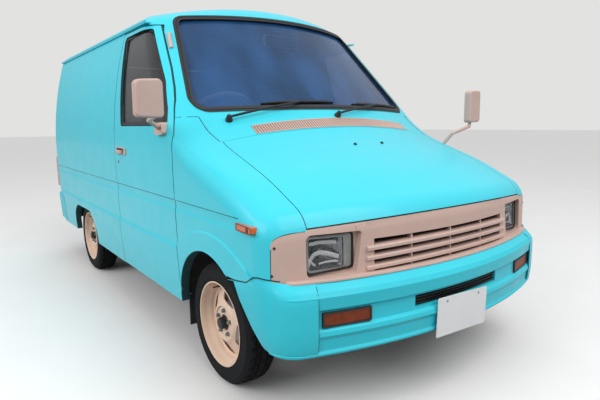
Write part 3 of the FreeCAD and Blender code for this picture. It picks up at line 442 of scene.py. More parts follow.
def bar(name, points, radius, material, body="body", bent=True):
    """Round bar along points, bent or straight between them."""
    curve = bpy.data.curves.new(name, "CURVE")
    curve.dimensions = "3D"
    curve.bevel_depth = radius
    curve.bevel_resolution = 3
    curve.use_fill_caps = True
    spline = curve.splines.new("NURBS" if bent else "POLY")
    spline.points.add(len(points) - 1)
    for spot, point in zip(spline.points, points):
        spot.co = (*point, 1)
    if bent:
        spline.order_u = 3
        spline.use_endpoint_u = True
        curve.resolution_u = 8
    holder = link(name + "_path", curve)
    mesh = final_mesh(holder)
    bpy.data.objects.remove(holder)
    return keep(mesh, name, material, body)


def rounded(corners, radius=0.0, steps=6):
    """Outline points from (u, v) or (u, v, radius) corners."""
    out = []
    for i, corner in enumerate(corners):
        here = Vector(corner[:2])
        bend = corner[2] if len(corner) > 2 else radius
        back = (Vector(corners[i - 1][:2]) - here).normalized()
        ahead = (Vector(corners[(i + 1) % len(corners)][:2]) - here).normalized()
        reach = bend / math.tan(back.angle(ahead) / 2)
        start, end = here + back * reach, here + ahead * reach
        for k in range(steps + 1):
            t = k / steps
            out.append(start * (1 - t) ** 2 + here * 2 * t * (1 - t) + end * t ** 2)
    return out


def inset(corners, depth):
    """Corners moved inwards by a depth, with their radii lessened."""
    area = sum(a[0] * b[1] - b[0] * a[1] for a, b in zip(corners, corners[1:] + corners[:1]))
    turn = 1 if area > 0 else -1
    out = []
    for i, corner in enumerate(corners):
        here = Vector(corner[:2])
        back = (here - Vector(corners[i - 1][:2])).normalized()
        ahead = (Vector(corners[(i + 1) % len(corners)][:2]) - here).normalized()
        n1 = Vector((-back.y, back.x)) * turn
        n2 = Vector((-ahead.y, ahead.x)) * turn
        spot = here + (n1 + n2) / (1 + n1.dot(n2)) * depth
        out.append((spot.x, spot.y, max(0.001, corner[2] - depth) if len(corner) > 2 else 0.001))
    return out


def oblong(u0, v0, u1, v1):
    return [(u0, v0), (u1, v0), (u1, v1), (u0, v1)]


def slab(name, corners, radius, to_world, depth, material, body="body", edge=0.001, slot=None,
         replaces=()):
    """Flat plate with a rounded outline; to_world maps (u, v, depth) to a point."""
    ring = rounded(corners, radius)
    bm = bmesh.new()
    skin(bm, [[bm.verts.new(to_world(p.x, p.y, d)) for p in ring] for d in (0.0, depth)])
    return bevel(keep(bm, name, material, body, slot, replaces=replaces), edge)


# Reading the CAD faces

TREES = {}


def cast(node, origin, direction):
    """Where a ray meets a CAD node, and the normal there."""
    if node not in TREES:
        mesh = NODES[node].data
        points = [NODES[node].matrix_world @ v.co for v in mesh.vertices]
        TREES[node] = BVHTree.FromPolygons(points, [tuple(p.vertices) for p in mesh.polygons])
    return TREES[node].ray_cast(Vector(origin), Vector(direction).normalized())[:2]


def on_surface(names, points, direction):
    """(point, normal) where lines along a direction first meet the named nodes."""
    direction = Vector(direction).normalized()
    out = []
    for point in points:
        start = Vector(point) - direction * 3.0
        hits = [hit for hit in (cast(name, start, direction) for name in names.split()) if hit[0]]
        if hits:
            out.append(min(hits, key=lambda hit: (hit[0] - start).length))
    return out


def seen(view, names, points, sign=1):
    """(point, normal) of flat points on the named nodes, as seen from one side of the van: (y, z)
    from the front or rear, (x, y) from the top, (x, z) from the side; sign mirrors them."""
    to_space, direction = {
        "front": (lambda u, v: (0, sign * u, v), (-1, 0, 0)),
        "rear": (lambda u, v: (0, sign * u, v), (1, 0, 0)),
        "top": (lambda u, v: (u, sign * v, 0), (0, 0, -1)),
        "side": (lambda u, v: (u, 0, v), (0, -sign, 0)),
    }[view]
    return on_surface(names, [to_space(*point) for point in points], direction)


def border(first, second, a, b, direction):
    """[(point, normal)] on the line a to b where the outer skin changes from one node to another."""
    a, b = Vector(a), Vector(b)
    reach = Vector(direction).normalized()
    for _ in range(14):
        middle = (a + b) / 2
        near = []
        for name in (first, second):
            spot, _ = cast(name, middle - reach * 3.0, reach)
            near.append((spot - middle).dot(reach) if spot else 9.0)
        if near[0] < near[1]:
            a = middle
        else:
            b = middle
    return on_surface(first + " " + second, [middle], direction)


def ribbon(name, spots, width, height, material, body="body", closed=False, sink=0.0006, crown=0.8,
           slot=None):
    """Strip of trapezoid section that follows (point, normal) spots."""
    bm = bmesh.new()
    rings = []
    count = len(spots)
    for i, (point, normal) in enumerate(spots):
        before = spots[i - 1][0] if (i or closed) else point
        after = spots[(i + 1) % count][0] if (i < count - 1 or closed) else point
        along = (after - before).normalized()
        side = normal.cross(along).normalized()
        out = along.cross(side)
        section = ((-0.5, -sink), (0.5, -sink), (0.5 * crown, height), (-0.5 * crown, height))
        rings.append([bm.verts.new(point + side * width * a + out * b) for a, b in section])
    skin(bm, rings, closed)
    return keep(bm, name, material, body, slot, 50)


def slats(name, lines, section, material, smooth=35):
    """Many strips as one piece, each along (point, normal) spots; section is (y, outward) points."""
    bm = bmesh.new()
    for spots in lines:
        skin(bm, [[bm.verts.new(p + Vector((0, y, 0)) + n * out) for y, out in section]
                  for p, n in spots])
    keep(bm, name, material, smooth=smooth)


def between(a, b, steps):
    """Points from a to b, ends included."""
    a, b = Vector(a), Vector(b)
    return [a.lerp(b, i / steps) for i in range(steps + 1)]


# Wheels

TYRE_HALF = [
    # radius, offset from the middle: bead, side wall, shoulder
    (0.1802, 0.0585), (0.1860, 0.0640), (0.1930, 0.0680), (0.2010, 0.0704), (0.2030, 0.0718),
    (0.2060, 0.0706), (0.2150, 0.0718), (0.2290, 0.0722), (0.2400, 0.0712), (0.2430, 0.0720),
    (0.2460, 0.0700), (0.2550, 0.0650), (0.2620, 0.0590), (0.2670, 0.0530),
]
TREAD_HALF, TREAD_STEPS, TREAD_TOP = 0.0500, 25, 0.2719
TREAD_BLOCKS, BLOCK_STEPS = 34, 10
RIM_PROFILE = [
    # radius, offset: flange, barrel, disc with its boss, then the back
    (0.1795, 0.0600), (0.1883, 0.0690), (0.1888, 0.0705), (0.1870, 0.0710), (0.1828, 0.0704),
    (0.1790, 0.0620), (0.1765, 0.0500), (0.1740, 0.0380), (0.1690, 0.0310), (0.1655, 0.0200),
    (0.1640, 0.0110), (0.1580, 0.0085), (0.1500, 0.0105), (0.1380, 0.0170), (0.1200, 0.0265),
    (0.1020, 0.0335), (0.0930, 0.0365), (0.0865, 0.0440), (0.0805, 0.0468), (0.0745, 0.0466),
    (0.0715, 0.0430), (0.0690, 0.0395), (0.0500, 0.0392), (0.0350, 0.0392),
    (0.0350, 0.0350), (0.0720, 0.0350), (0.0800, 0.0425), (0.0850, 0.0395), (0.0910, 0.0325),
    (0.1010, 0.0295), (0.1190, 0.0225), (0.1370, 0.0130), (0.1500, 0.0060), (0.1600, 0.0040),
    (0.1660, 0.0040), (0.1640, -0.0200), (0.1690, -0.0400), (0.1745, -0.0560), (0.1780, -0.0640),
    (0.1800, -0.0700), (0.1860, -0.0708), (0.1883, -0.0690), (0.1795, -0.0600), (0.1782, -0.0300),
    (0.1782, 0.0300),
]
WINDOW_TURNS = (75, 165, 255, 345)
# Corners of a window: radius, degrees from its middle
WINDOW = ((0.1500, -31), (0.1500, -10), (0.1500, 10), (0.1500, 31), (0.1030, 25), (0.1030, -25))
HUB_FACE, NUT_CIRCLE = 0.0392, 0.0550


def tread_depth(step, offset, radius):
    """Grooves: two round ones, and slanted cross cuts that leave blocks."""
    if radius < 0.2665:
        return 0.0
    across = abs(offset)
    if abs(across - 0.0165) < 0.0028 or abs(across - 0.0360) < 0.0024:
        return -0.0075
    phase = (step + offset * 130 * (1 if across > 0.018 else -1)) % BLOCK_STEPS
    if phase < 2 and across > 0.0195:
        return -0.0065
    if phase < 1 and across < 0.0130:
        return -0.0030
    return 0.0


def wheel(end, side, sign, x):
    tag = "%s_%s" % (end, side)
    body = "wheel_%s_body" % tag
    place = axle_place(x, sign)
    tread = []
    for k in range(TREAD_STEPS + 1):
        offset = TREAD_HALF - 2 * TREAD_HALF * k / TREAD_STEPS
        tread.append((TREAD_TOP - 1.2 * offset ** 2, offset))
    profile = TYRE_HALF + tread + [(r, -o) for r, o in reversed(TYRE_HALF)]
    keep(turned(profile, TREAD_BLOCKS * BLOCK_STEPS, place, shift=tread_depth), "treaded_tyre_" + tag,
         "tyre", body, smooth=40, replaces=["tyre_" + tag])

    rim = keep(turned(RIM_PROFILE, 96, place), "dished_wheel_" + tag, "wheel", body, smooth=40,
               replaces=["wheel_" + tag])
    corners = [(r * math.cos(math.radians(a)), r * math.sin(math.radians(a))) for r, a in WINDOW]
    ring = rounded(corners, 0.0105, 5)
    bm = bmesh.new()
    for turn in WINDOW_TURNS:
        middle = math.radians(turn)
        skin(bm, [[bm.verts.new(place(p.length, offset, middle + math.atan2(p.y, p.x))) for p in ring]
                  for offset in (-0.01, 0.058)])
    cutter = link("cutter", as_mesh(bm))
    cut = rim.modifiers.new("windows", "BOOLEAN")
    cut.operation = "DIFFERENCE"
    cut.object = cutter
    cut.solver = "EXACT"
    done = final_mesh(rim)
    rim.modifiers.clear()
    rim.data = done
    done.set_sharp_from_angle(angle=math.radians(35))
    bpy.data.objects.remove(cutter)
    bevel(rim, 0.0012, 45)

    out = (0, sign, 0)
    knob("hub_cap_" + tag, place(0.0, HUB_FACE, 0.0), out, [
        (0.0, 0.0300), (0.0150, 0.0298), (0.0230, 0.0270), (0.0262, 0.0200), (0.0268, 0.0040),
        (0.0300, 0.0), (0.0, 0.0)], "black", body)
    for i in range(5):
        knob("lug_nut_%s_%d" % (tag, i), place(NUT_CIRCLE, HUB_FACE, math.radians(72 * i + 18)), out, [
            (0.0, 0.0170), (0.0045, 0.0168), (0.0078, 0.0140), (0.0088, 0.0060), (0.0100, 0.0),
            (0.0, 0.0)], "steel", body, 6)
    spot = place(0.1620, 0.0180, math.radians(120))
    bar("valve_" + tag, [spot + Vector((0, sign * y, 0)) for y in (0.0, 0.022, 0.034)], 0.0035,
        "black", body)


def wheels():
    for end, x in (("front", FRONT_X), ("rear", REAR_X)):
        for side, sign in SIDES:
            wheel(end, side, sign, x)


# Stage

CAMERA_AT = (3.14875, -1.71867, 1.13904)
CAMERA_YAW, CAMERA_PITCH, CAMERA_ROLL = 143.9334, -8.7815, 0.6427
CAMERA_FOCAL_PX, FRAME_WIDTH_PX = 494.8585, 600


def camera():
    data = bpy.data.cameras.new("photo camera")
    data.sensor_width = 36.0
    data.lens = CAMERA_FOCAL_PX * data.sensor_width / FRAME_WIDTH_PX
    data.clip_end = 200
    yaw, pitch, roll = (math.radians(v) for v in (CAMERA_YAW, CAMERA_PITCH, CAMERA_ROLL))
    ahead = Vector((math.cos(pitch) * math.cos(yaw), math.cos(pitch) * math.sin(yaw), math.sin(pitch)))
    right = ahead.cross(Vector((0, 0, 1))).normalized()
    side = right * math.cos(roll) + ahead.cross(right) * math.sin(roll)
    eye = link("photo camera", data)
    up = (-ahead).cross(side)
    eye.matrix_world = Matrix([(side[i], up[i], -ahead[i], CAMERA_AT[i]) for i in range(3)] + [(0, 0, 0, 1)])
    bpy.context.scene.camera = eye


def soft_lamp(name, at, size, power):
    data = bpy.data.lights.new(name, "AREA")
    data.shape = "RECTANGLE"
    data.size, data.size_y = size
    data.energy = power
    lamp = link(name, data)
    lamp.location = at
    lamp.rotation_euler = (Vector((0, 0, 0.8)) - Vector(at)).to_track_quat("-Z", "Y").to_euler()


def stage():
    n = shader("pale floor")
    path = n.add("ShaderNodeLightPath").outputs
    looked_at = n.maths("MAXIMUM", path["Is Camera Ray"],
                        n.maths("MAXIMUM", path["Is Glossy Ray"], path["Is Transmission Ray"]))
    pale = n.blend(n.noise(2.0, 4), srgb(232, 232, 231), srgb(238, 238, 237))
    n.join(n.blend(looked_at, srgb(120, 120, 120), pale), n.shader.inputs["Base Color"])
    n.fix(Roughness=0.9, Specular_IOR_Level=0.1)
    half = 60
    corners = [(-half, -half, 0), (half, -half, 0), (half, half, 0), (-half, half, 0)]
    mesh = as_mesh(from_points(corners, [(0, 1, 2, 3)]))
    mesh.materials.append(n.owner)
    link("floor", mesh)

    world = bpy.data.worlds.new("soft sky")
    bpy.context.scene.world = world
    n = Nodes(world)
    n.tree.nodes.clear()
    ramp = n.add("ShaderNodeValToRGB")
    low, high = ramp.color_ramp.elements
    low.position, low.color = 0.0, (0.42, 0.43, 0.45, 1)
    high.position, high.color = 0.62, (1.0, 1.0, 1.0, 1)
    n.join(n.axes(n.add("ShaderNodeTexCoord").outputs["Generated"])["Z"], ramp.inputs["Fac"])
    sky = n.add("ShaderNodeBackground", Strength=0.84)
    plain = n.add("ShaderNodeBackground", Color=srgb(226, 226, 225), Strength=1.0)
    mix = n.add("ShaderNodeMixShader")
    n.join(ramp.outputs["Color"], sky.inputs["Color"])
    n.join(n.add("ShaderNodeLightPath").outputs["Is Camera Ray"], mix.inputs["Fac"])
    n.join(sky.outputs["Background"], mix.inputs[1])
    n.join(plain.outputs["Background"], mix.inputs[2])
    n.join(mix.outputs["Shader"], n.add("ShaderNodeOutputWorld").inputs["Surface"])
    soft_lamp("high front light", (5.0, 0.5, 5.5), (5.0, 5.0), 215)
    soft_lamp("driver's side light", (0.5, -6.0, 3.6), (6.0, 3.0), 190)
    bpy.context.scene.view_settings.view_transform = "Standard"


# Lines and rubbers on the body

BELT_Z = 0.7925
BELT_SPANS = (
    # node, its body, x from, x to
    ("side_panel", "body", -1.800, 0.036),
    ("door", "door_%s_body", 0.050, 0.938),
    ("fender", "body", 0.952, 1.550),
)
DOOR_WINDOW = [
    # x, z, corner radius
    (0.172, 1.135, 0.022), (0.082, 1.650, 0.028), (0.446, 1.654, 0.034),
    (0.733, 1.353, 0.300), (0.840, 1.215, 0.200), (0.881, 1.135, 0.020),
]
GATE_WINDOW = [
    # y, z, corner radius
    (-0.560, 1.150, 0.060), (0.560, 1.150, 0.060), (0.520, 1.580, 0.070), (-0.520, 1.580, 0.070),
]
SEAL_CORNERS = [
    (-0.724, 1.2065, 0.058), (-0.5945, 1.7200, 0.058), (0.5945, 1.7200, 0.058), (0.724, 1.2065, 0.058),
]
PILLAR_SEAM = ((0.9005, 0.8000), (0.915, 0.783), (0.939, 0.743), (0.954, 0.715), (0.9605, 0.7085))
COWL_SEAM = ((0.960, 0.7085), (1.000, 0.7075), (1.046, 0.706), (1.090, 0.699), (1.135, 0.692))
SCREW = [(0.0, 0.0008), (0.0022, 0.0010), (0.0030, 0.0022), (0.0046, 0.0020), (0.0052, 0.0004),
         (0.0052, -0.001), (0.0, -0.001)]


# Belt line: a dark strip of painted shadow under the crease along the sides
def belt_lines():
    for side, sign in SIDES:
        for node, body, low, high in BELT_SPANS:
            spots = seen("side", "%s_%s" % (node, side), between((low, BELT_Z), (high, BELT_Z), 40), sign)
            ribbon("belt_line_%s_%s" % (node, side), spots, 0.0062, 0.0006, "seam",
                   body.replace("%s", side))


def window_rubbers():
    outline = rounded(inset(DOOR_WINDOW, 0.011), steps=8)
    for side, sign in SIDES:
        ribbon("door_window_rubber_" + side, seen("side", "door_%s_glass" % side, outline, sign), 0.021,
               0.0075, "rubber", "door_%s_body" % side, closed=True, crown=0.85)
    outline = rounded(inset(GATE_WINDOW, 0.013), steps=8)
    ribbon("gate_window_rubber", seen("rear", "tailgate_glass", outline), 0.025, 0.008, "rubber",
           "tailgate_body", closed=True)
    corners = rounded(SEAL_CORNERS, steps=10)
    bowed = []
    for a, b in zip(corners, corners[1:] + corners[:1]):
        for p in between(a, b, max(1, int((b - a).length / 0.04)))[:-1]:
            lift = 0.0165 if p.y < 1.46 else 0.0175
            bowed.append((p.x, p.y + lift * max(0.0, 1 - (p.x / 0.70) ** 2)))
    ribbon("windscreen_seal_bead", seen("front", "windscreen_seal windscreen", bowed), 0.008, 0.0028,
           "black", closed=True, crown=0.5, slot="rubber")


def seams():
    for side, sign in SIDES:
        for name, points in (("pillar_foot_seam_", PILLAR_SEAM), ("cowl_seam_", COWL_SEAM)):
            ribbon(name + side, seen("top", "windscreen_frame fender_" + side, points, sign),
                   0.0040, 0.0004, "seam")
        for k, (y, low, high) in enumerate(((0.494, 0.741, 0.762), (0.463, 0.560, 0.584))):
            ribbon("fascia_seam_%d_%s" % (k, side),
                   seen("front", "grille_panel", between((y, low), (y, high), 4), sign),
                   0.0022, 0.0003, "fin_shade")
        for k, point in enumerate(((1.7278, 0.706), (1.7215, 0.605))):
            (spot, normal), = seen("side", "grille_panel", [point], sign)
            knob("fascia_screw_%d_%s" % (k, side), spot, normal, SCREW, "black", segments=20)


ARCH_Z, ARCH_RADIUS, ARCH_FROM, ARCH_TO, ARCH_STEPS = 0.286, 0.3212, 8, 172, 48
ARCH_WALLS = (
    # end, y, back, front, bottom and top, then the notch for the axle
    ("rear", 0.585, -1.33, -0.60, 0.252, 0.5695, (-1.05, -0.875, 0.345)),
    ("front", 0.470, 0.93, 1.70, 0.225, 0.430, (1.215, 1.31, 0.325)),
)


def arch_lips():
    """Raised edge of each front wheel arch."""
    turns = [math.radians(ARCH_FROM + (ARCH_TO - ARCH_FROM) * k / ARCH_STEPS) for k in range(ARCH_STEPS + 1)]
    points = [(FRONT_X + ARCH_RADIUS * math.cos(a), ARCH_Z + ARCH_RADIUS * math.sin(a)) for a in turns]
    for side, sign in SIDES:
        spots = [s for s in seen("side", "fender_" + side, points, sign) if abs(s[0].y) > 0.80]
        ribbon("arch_lip_front_" + side, spots, 0.0060, 0.0022, "paint", crown=0.6)


def arch_walls():
    """Sheets that close the view under the van behind each wheel."""
    for end, y, back, front, low, high, (left, right, notch) in ARCH_WALLS:
        corners = [(back, low), (left, low), (left + 0.015, notch), (right - 0.015, notch), (right, low),
                   (front, low), (front, high), (back, high)]
        for side, sign in SIDES:
            slab("arch_wall_%s_%s" % (end, side), corners, 0.004,
                 lambda u, v, w: Vector((u, sign * (y + w), v)), 0.003, "underbody")


VENT_HALF_Y, VENT_FRONT, VENT_LENGTH = 0.506, ((1.158, 0.512), (1.204, 0.0)), 0.058
VENT_SLATS = 74


def vent_grid():
    """Slatted intake behind the bonnet: dark bed, rim and fore-and-aft slats."""
    (x_side, y_side), (x_mid, _) = VENT_FRONT
    bend = (x_mid - x_side) / y_side ** 2

    def behind(back, y):
        """Point at a distance behind the vent's front edge."""
        return x_mid - bend * y * y - back, y
    nodes = "cowl_vent windscreen_frame"
    ys = [VENT_HALF_Y * (k / 20 - 1) for k in range(41)]
    ribbon("vent_bed", seen("top", nodes, [behind(VENT_LENGTH / 2, y) for y in ys]),
           VENT_LENGTH - 0.006, 0.0006, "fin_shade", crown=1.0)
    front, rear = 0.003, VENT_LENGTH - 0.003
    outline = [behind(front, y) for y in ys]
    outline += [behind(front + (rear - front) * k / 4, VENT_HALF_Y) for k in (1, 2, 3)]
    outline += [behind(rear, y) for y in ys[::-1]]
    outline += [behind(rear + (front - rear) * k / 4, -VENT_HALF_Y) for k in (1, 2, 3)]
    ribbon("vent_rim", seen("top", nodes, outline), 0.0062, 0.0024, "beige", closed=True)
    lines = []
    for i in range(VENT_SLATS):
        y = VENT_HALF_Y * (2 * (i + 0.5) / VENT_SLATS - 1) * 0.985
        lines.append(seen("top", nodes, [behind(0.006 + (VENT_LENGTH - 0.012) * k / 3, y) for k in range(4)]))
    slats("vent_slats", lines, ((-0.0038, 0.0), (0.0038, 0.0), (0.0034, 0.0022), (-0.0034, 0.0022)), "beige")


# Headlamps

LAMP_OUTER = [
    # y, z, corner radius of the seal round the left lamp
    (0.681, 0.5925, 0.018), (0.492, 0.6010, 0.018), (0.490, 0.7370, 0.018), (0.681, 0.7380, 0.018),
]
LAMP_INNER = [
    (0.668, 0.6060, 0.012), (0.531, 0.6100, 0.012), (0.531, 0.7230, 0.012), (0.668, 0.7240, 0.012),
]
# Strips of painted highlight on the headlamp reflector
LAMP_HIGHLIGHTS = (
    # share from the outer side, share from the bottom, strip width
    ("arc", ((0.04, 0.10), (0.10, 0.30), (0.22, 0.47), (0.38, 0.52), (0.58, 0.47), (0.80, 0.38),
             (0.96, 0.31)), 0.017),
    ("sill", ((0.10, 0.30), (0.17, 0.18), (0.26, 0.09)), 0.009),
    ("foot", ((0.34, 0.16), (0.55, 0.20), (0.78, 0.20), (0.94, 0.17)), 0.008),
    ("brow", ((0.08, 0.80), (0.35, 0.84), (0.65, 0.83), (0.93, 0.78)), 0.014),
)
AHEAD = Vector((1, 0, 0))


def lamp_point(side, sign, y, z):
    return cast("headlamp_" + side, (3.0, sign * y, z), -AHEAD)[0]


def lamp_sheet(name, side, sign, edge, centre, shape, material, replaces=()):
    """Two-sided sheet over the lamp's outline, pushed back by shape(share from the middle)."""
    bm = bmesh.new()
    sheets = []
    count = len(edge)
    for lift in (0.0002, -0.004):
        rows = []
        for share in [k / 8 for k in range(1, 9)]:
            row = []
            for spot in edge:
                flat = centre.lerp(spot, share)
                point = spot if share == 1 else lamp_point(side, sign, abs(flat.y), flat.z) or flat
                row.append(bm.verts.new(point + AHEAD * (lift + shape(share))))
            rows.append(row)
        middle = bm.verts.new(centre + AHEAD * (lift + shape(0)))
        sheets.append((middle, rows))
    for i in range(count):
        j = (i + 1) % count
        for middle, rows in sheets:
            bm.faces.new((middle, rows[0][i], rows[0][j]))
            for a, b in zip(rows, rows[1:]):
                bm.faces.new((a[i], b[i], b[j], a[j]))
        (_, front), (_, back) = sheets
        bm.faces.new((front[-1][i], back[-1][i], back[-1][j], front[-1][j]))
    keep(bm, name, material, smooth=60, replaces=replaces)


def headlamps():
    """Seal, frame, fluted glass, reflector with strips of painted highlight, and bulb shield of each
    headlamp.
    """
    for side, sign in SIDES:
        node = "headlamp_" + side
        outer = [s[0] for s in seen("front", node + " grille_panel", rounded(LAMP_OUTER), sign)]
        inner = [s[0] for s in seen("front", node, rounded(LAMP_INNER), sign)]
        ribbon("headlamp_seal_" + side, [(spot, AHEAD) for spot in outer], 0.0100, 0.0064, "black",
               closed=True, sink=0.004, crown=0.6)
        middle = sum(outer, Vector()) / len(outer)
        outer = [spot + (middle - spot).normalized() * 0.0066 for spot in outer]
        bm = bmesh.new()
        skin(bm, [[bm.verts.new(spot + AHEAD * lift) for spot in spots] for spots, lift in (
            (outer, -0.004), (outer, 0.0036), (inner, 0.0010), (inner, -0.004))], loop=True)
        keep(bm, "headlamp_frame_" + side, "steel")
        centre = lamp_point(side, sign, 0.600, 0.665)
        lamp_sheet("headlamp_glass_" + side, side, sign, inner, centre, lambda s: 0.0, "lens", [node])
        lamp_sheet("headlamp_bowl_" + side, side, sign, inner, centre,
                   lambda s: -0.007 - 0.058 * (1 - s * s), "chrome")
        low, high = min(p.z for p in inner), max(p.z for p in inner)
        near, far = max(abs(p.y) for p in inner), min(abs(p.y) for p in inner)
        # Painted highlight strips lying on the reflector
        for part, places, width in LAMP_HIGHLIGHTS:
            shares = [p for a, b in zip(places, places[1:]) for p in between(a, b, 4)[:-1]]
            spots = [lamp_point(side, sign, near + (far - near) * u, low + (high - low) * v)
                     for u, v in shares]
            ribbon("headlamp_%s_%s" % (part, side), [(p - AHEAD * 0.0125, AHEAD) for p in spots], width,
                   0.0015, "facet", crown=0.7)
        knob("headlamp_bulb_shield_" + side, centre - AHEAD * 0.060, AHEAD, [
            (0.0, 0.034), (0.010, 0.033), (0.015, 0.028), (0.016, 0.010), (0.020, 0.0), (0.0, 0.0),
        ], "steel")
        lines = []
        for k in range(14):
            y = 0.5400 + 0.0091 * k
            lines.append(seen("front", node, between((y, 0.614), (y, 0.716), 8), sign))
        slats("headlamp_flutes_" + side, lines,
              ((-0.0026, 0.0002), (0.0026, 0.0002), (0.0007, 0.0014), (-0.0007, 0.0014)), "lens", 60)


# Front bumper

BUMPER_SIDE, BUMPER_CORNER, BUMPER_BOW, BUMPER_RADIUS = 0.861, 0.120, 0.125, 2.259
CORNER_RISE = [
    # depth under the bumper's outermost line, height, rear end in x
    (0.0420, 0.5745, 1.4470), (0.0290, 0.5655, 1.4600), (0.0170, 0.5560, 1.4760),
    (0.0070, 0.5430, 1.4930), (0.0010, 0.5290, 1.5080), (-0.0012, 0.5100, 1.5230),
    (-0.0014, 0.4700, 1.5480), (-0.0014, 0.4300, 1.5800), (-0.0012, 0.3900, 1.6130),
    (0.0016, 0.3550, 1.6420), (0.0046, 0.3300, 1.6630), (0.0090, 0.3150, 1.6760),
    (0.0160, 0.3075, 1.6830), (0.0300, 0.3045, 1.6860),
]
CORNER_SEAM_Y = 0.690
CORNER_COLUMNS = 56
# Upper edge with its notch and tab, the crease below it, and how far the side stands out, by x
CORNER_TOP = ((1.440, 0.530), (1.500, 0.543), (1.600, 0.558), (1.612, 0.562), (1.655, 0.590),
              (1.668, 0.592), (1.730, 0.586), (1.785, 0.5765), (1.805, 0.5745))
CORNER_CREASE = ((1.500, 0.540), (1.630, 0.558), (1.730, 0.541), (1.805, 0.529))
CORNER_FLARE = ((1.640, 0.0240), (1.690, 0.0205), (1.720, 0.0100), (1.745, 0.0))
CORNER_HUG = ((1.700, 1.0), (1.790, 0.0))
TOP_SHARE = (1.0, 0.80, 0.59, 0.31, 0.0)
TOP_HUG = (0.0040, 0.0030, 0.0016, 0.0006, 0.0)
LOWER_LIFT = {5: 0.85, 6: 0.5, 7: 0.2}


def bumper_front(y, depth=0.0):
    return LENGTH_HALF - y * y / (2 * BUMPER_RADIUS) - depth


def bumper_place(share, depth, x_end):
    """Plan point of the bumper's outer line, from its side end (0) to the corner seam (1)."""
    flat = BUMPER_SIDE - BUMPER_CORNER
    r = (BUMPER_BOW ** 2 + flat ** 2) / (2 * BUMPER_BOW)
    slope = math.asin(flat / r)
    cx = LENGTH_HALF - r + math.sqrt(r * r - flat * flat) - BUMPER_CORNER * math.cos(slope)
    cy = flat - BUMPER_CORNER * math.sin(slope)
    straight = cx - x_end
    turn = BUMPER_CORNER * (math.pi / 2 - slope)
    front = r * (slope - math.asin(CORNER_SEAM_Y / r))
    run = share * (straight + turn + front)
    if run < straight:
        return x_end + run, cy + BUMPER_CORNER - depth
    if run < straight + turn:
        angle = math.pi / 2 - (run - straight) / BUMPER_CORNER
        return cx + (BUMPER_CORNER - depth) * math.cos(angle), cy + (BUMPER_CORNER - depth) * math.sin(angle)
    angle = slope - (run - straight - turn) / r
    return LENGTH_HALF - r + (r - depth) * math.cos(angle), (r - depth) * math.sin(angle)


def along_table(table, x):
    """Value at x from (x, value) rows, straight between them."""
    if x <= table[0][0]:
        return table[0][1]
    for (x0, v0), (x1, v1) in zip(table, table[1:]):
        if x <= x1:
            return v0 + (v1 - v0) * (x - x0) / (x1 - x0)
    return table[-1][1]


def corner_point(row, share, inner):
    """Point of the bumper's corner skin in the frame of the left side."""
    depth, z, x_end = CORNER_RISE[row]
    x, _ = bumper_place(share, 0.0, x_end)
    side = x < 1.80
    if row <= 4:
        top = along_table(CORNER_TOP, x) if side else CORNER_RISE[0][1]
        crease = min(along_table(CORNER_CREASE, x) if side else 0.529, top - 0.003)
        z = crease + (top - crease) * TOP_SHARE[row]
        depth += (TOP_HUG[row] - depth) * along_table(CORNER_HUG, x)
    elif row in LOWER_LIFT and side:
        z += (along_table(CORNER_CREASE, x) - 0.529) * LOWER_LIFT[row]
    x, y = bumper_place(share, depth + inner, x_end)
    y += along_table(CORNER_FLARE, x) * min(1.0, max(0.0, (z - 0.30) / 0.20))
    return Vector((x, y, z - (inner * 0.6 if row < 4 else 0)))


def bumper_corners():
    """Smooth end piece of the front bumper on each side, back to the wheel arch."""
    shares = [k / CORNER_COLUMNS for k in range(CORNER_COLUMNS + 1)]
    for side, sign in SIDES:
        bm = bmesh.new()
        loops = []
        for inner in (0.0, 0.0035):
            rows = []
            for row in range(len(CORNER_RISE)):
                spots = [corner_point(row, share, inner) for share in shares]
                rows.append([bm.verts.new((p.x, sign * p.y, p.z)) for p in spots])
            for a, b in zip(rows, rows[1:]):
                for k in range(CORNER_COLUMNS):
                    bm.faces.new((a[k], a[k + 1], b[k + 1], b[k]))
            loops.append(rows[0] + [row[-1] for row in rows[1:]] + rows[-1][-2::-1]
                         + [row[0] for row in rows[-2:0:-1]])
        for i in range(len(loops[0])):
            j = (i + 1) % len(loops[0])
            bm.faces.new((loops[0][i], loops[1][i], loops[1][j], loops[0][j]))
        keep(bm, "bumper_corner_" + side, "bumper", smooth=40)
        spots = []
        for share in shares:
            p = corner_point(0, share, 0.0)
            if 1.50 < p.x < 1.665:
                spots.append((Vector((p.x, sign * 0.8464, p.z + 0.0018)), Vector((0, sign, 0))))
            elif 1.675 < p.x < 1.742:
                spots += seen("side", "fender_%s grille_panel" % side, [(p.x, p.z + 0.0022)], sign)
        ribbon("bumper_corner_gap_" + side, spots, 0.0050, 0.0008, "seam")
        spots = [corner_point(row, 1.0, 0.0) for row in range(1, 11)]
        lean = Vector((1, 0, 0.3)).normalized()
        ribbon("bumper_corner_joint_" + side, [(Vector((p.x, sign * p.y, p.z)), lean) for p in spots],
               0.0024, 0.0004, "inner")


# Outward from the plan line, z
LIP_SECTION = ((-0.050, 0.5795), (-0.0050, 0.5832), (-0.0005, 0.5815), (0.0010, 0.5780),
               (0.0004, 0.5735), (-0.0030, 0.5722), (-0.050, 0.5722))
LIP_DEPTH = 0.0390


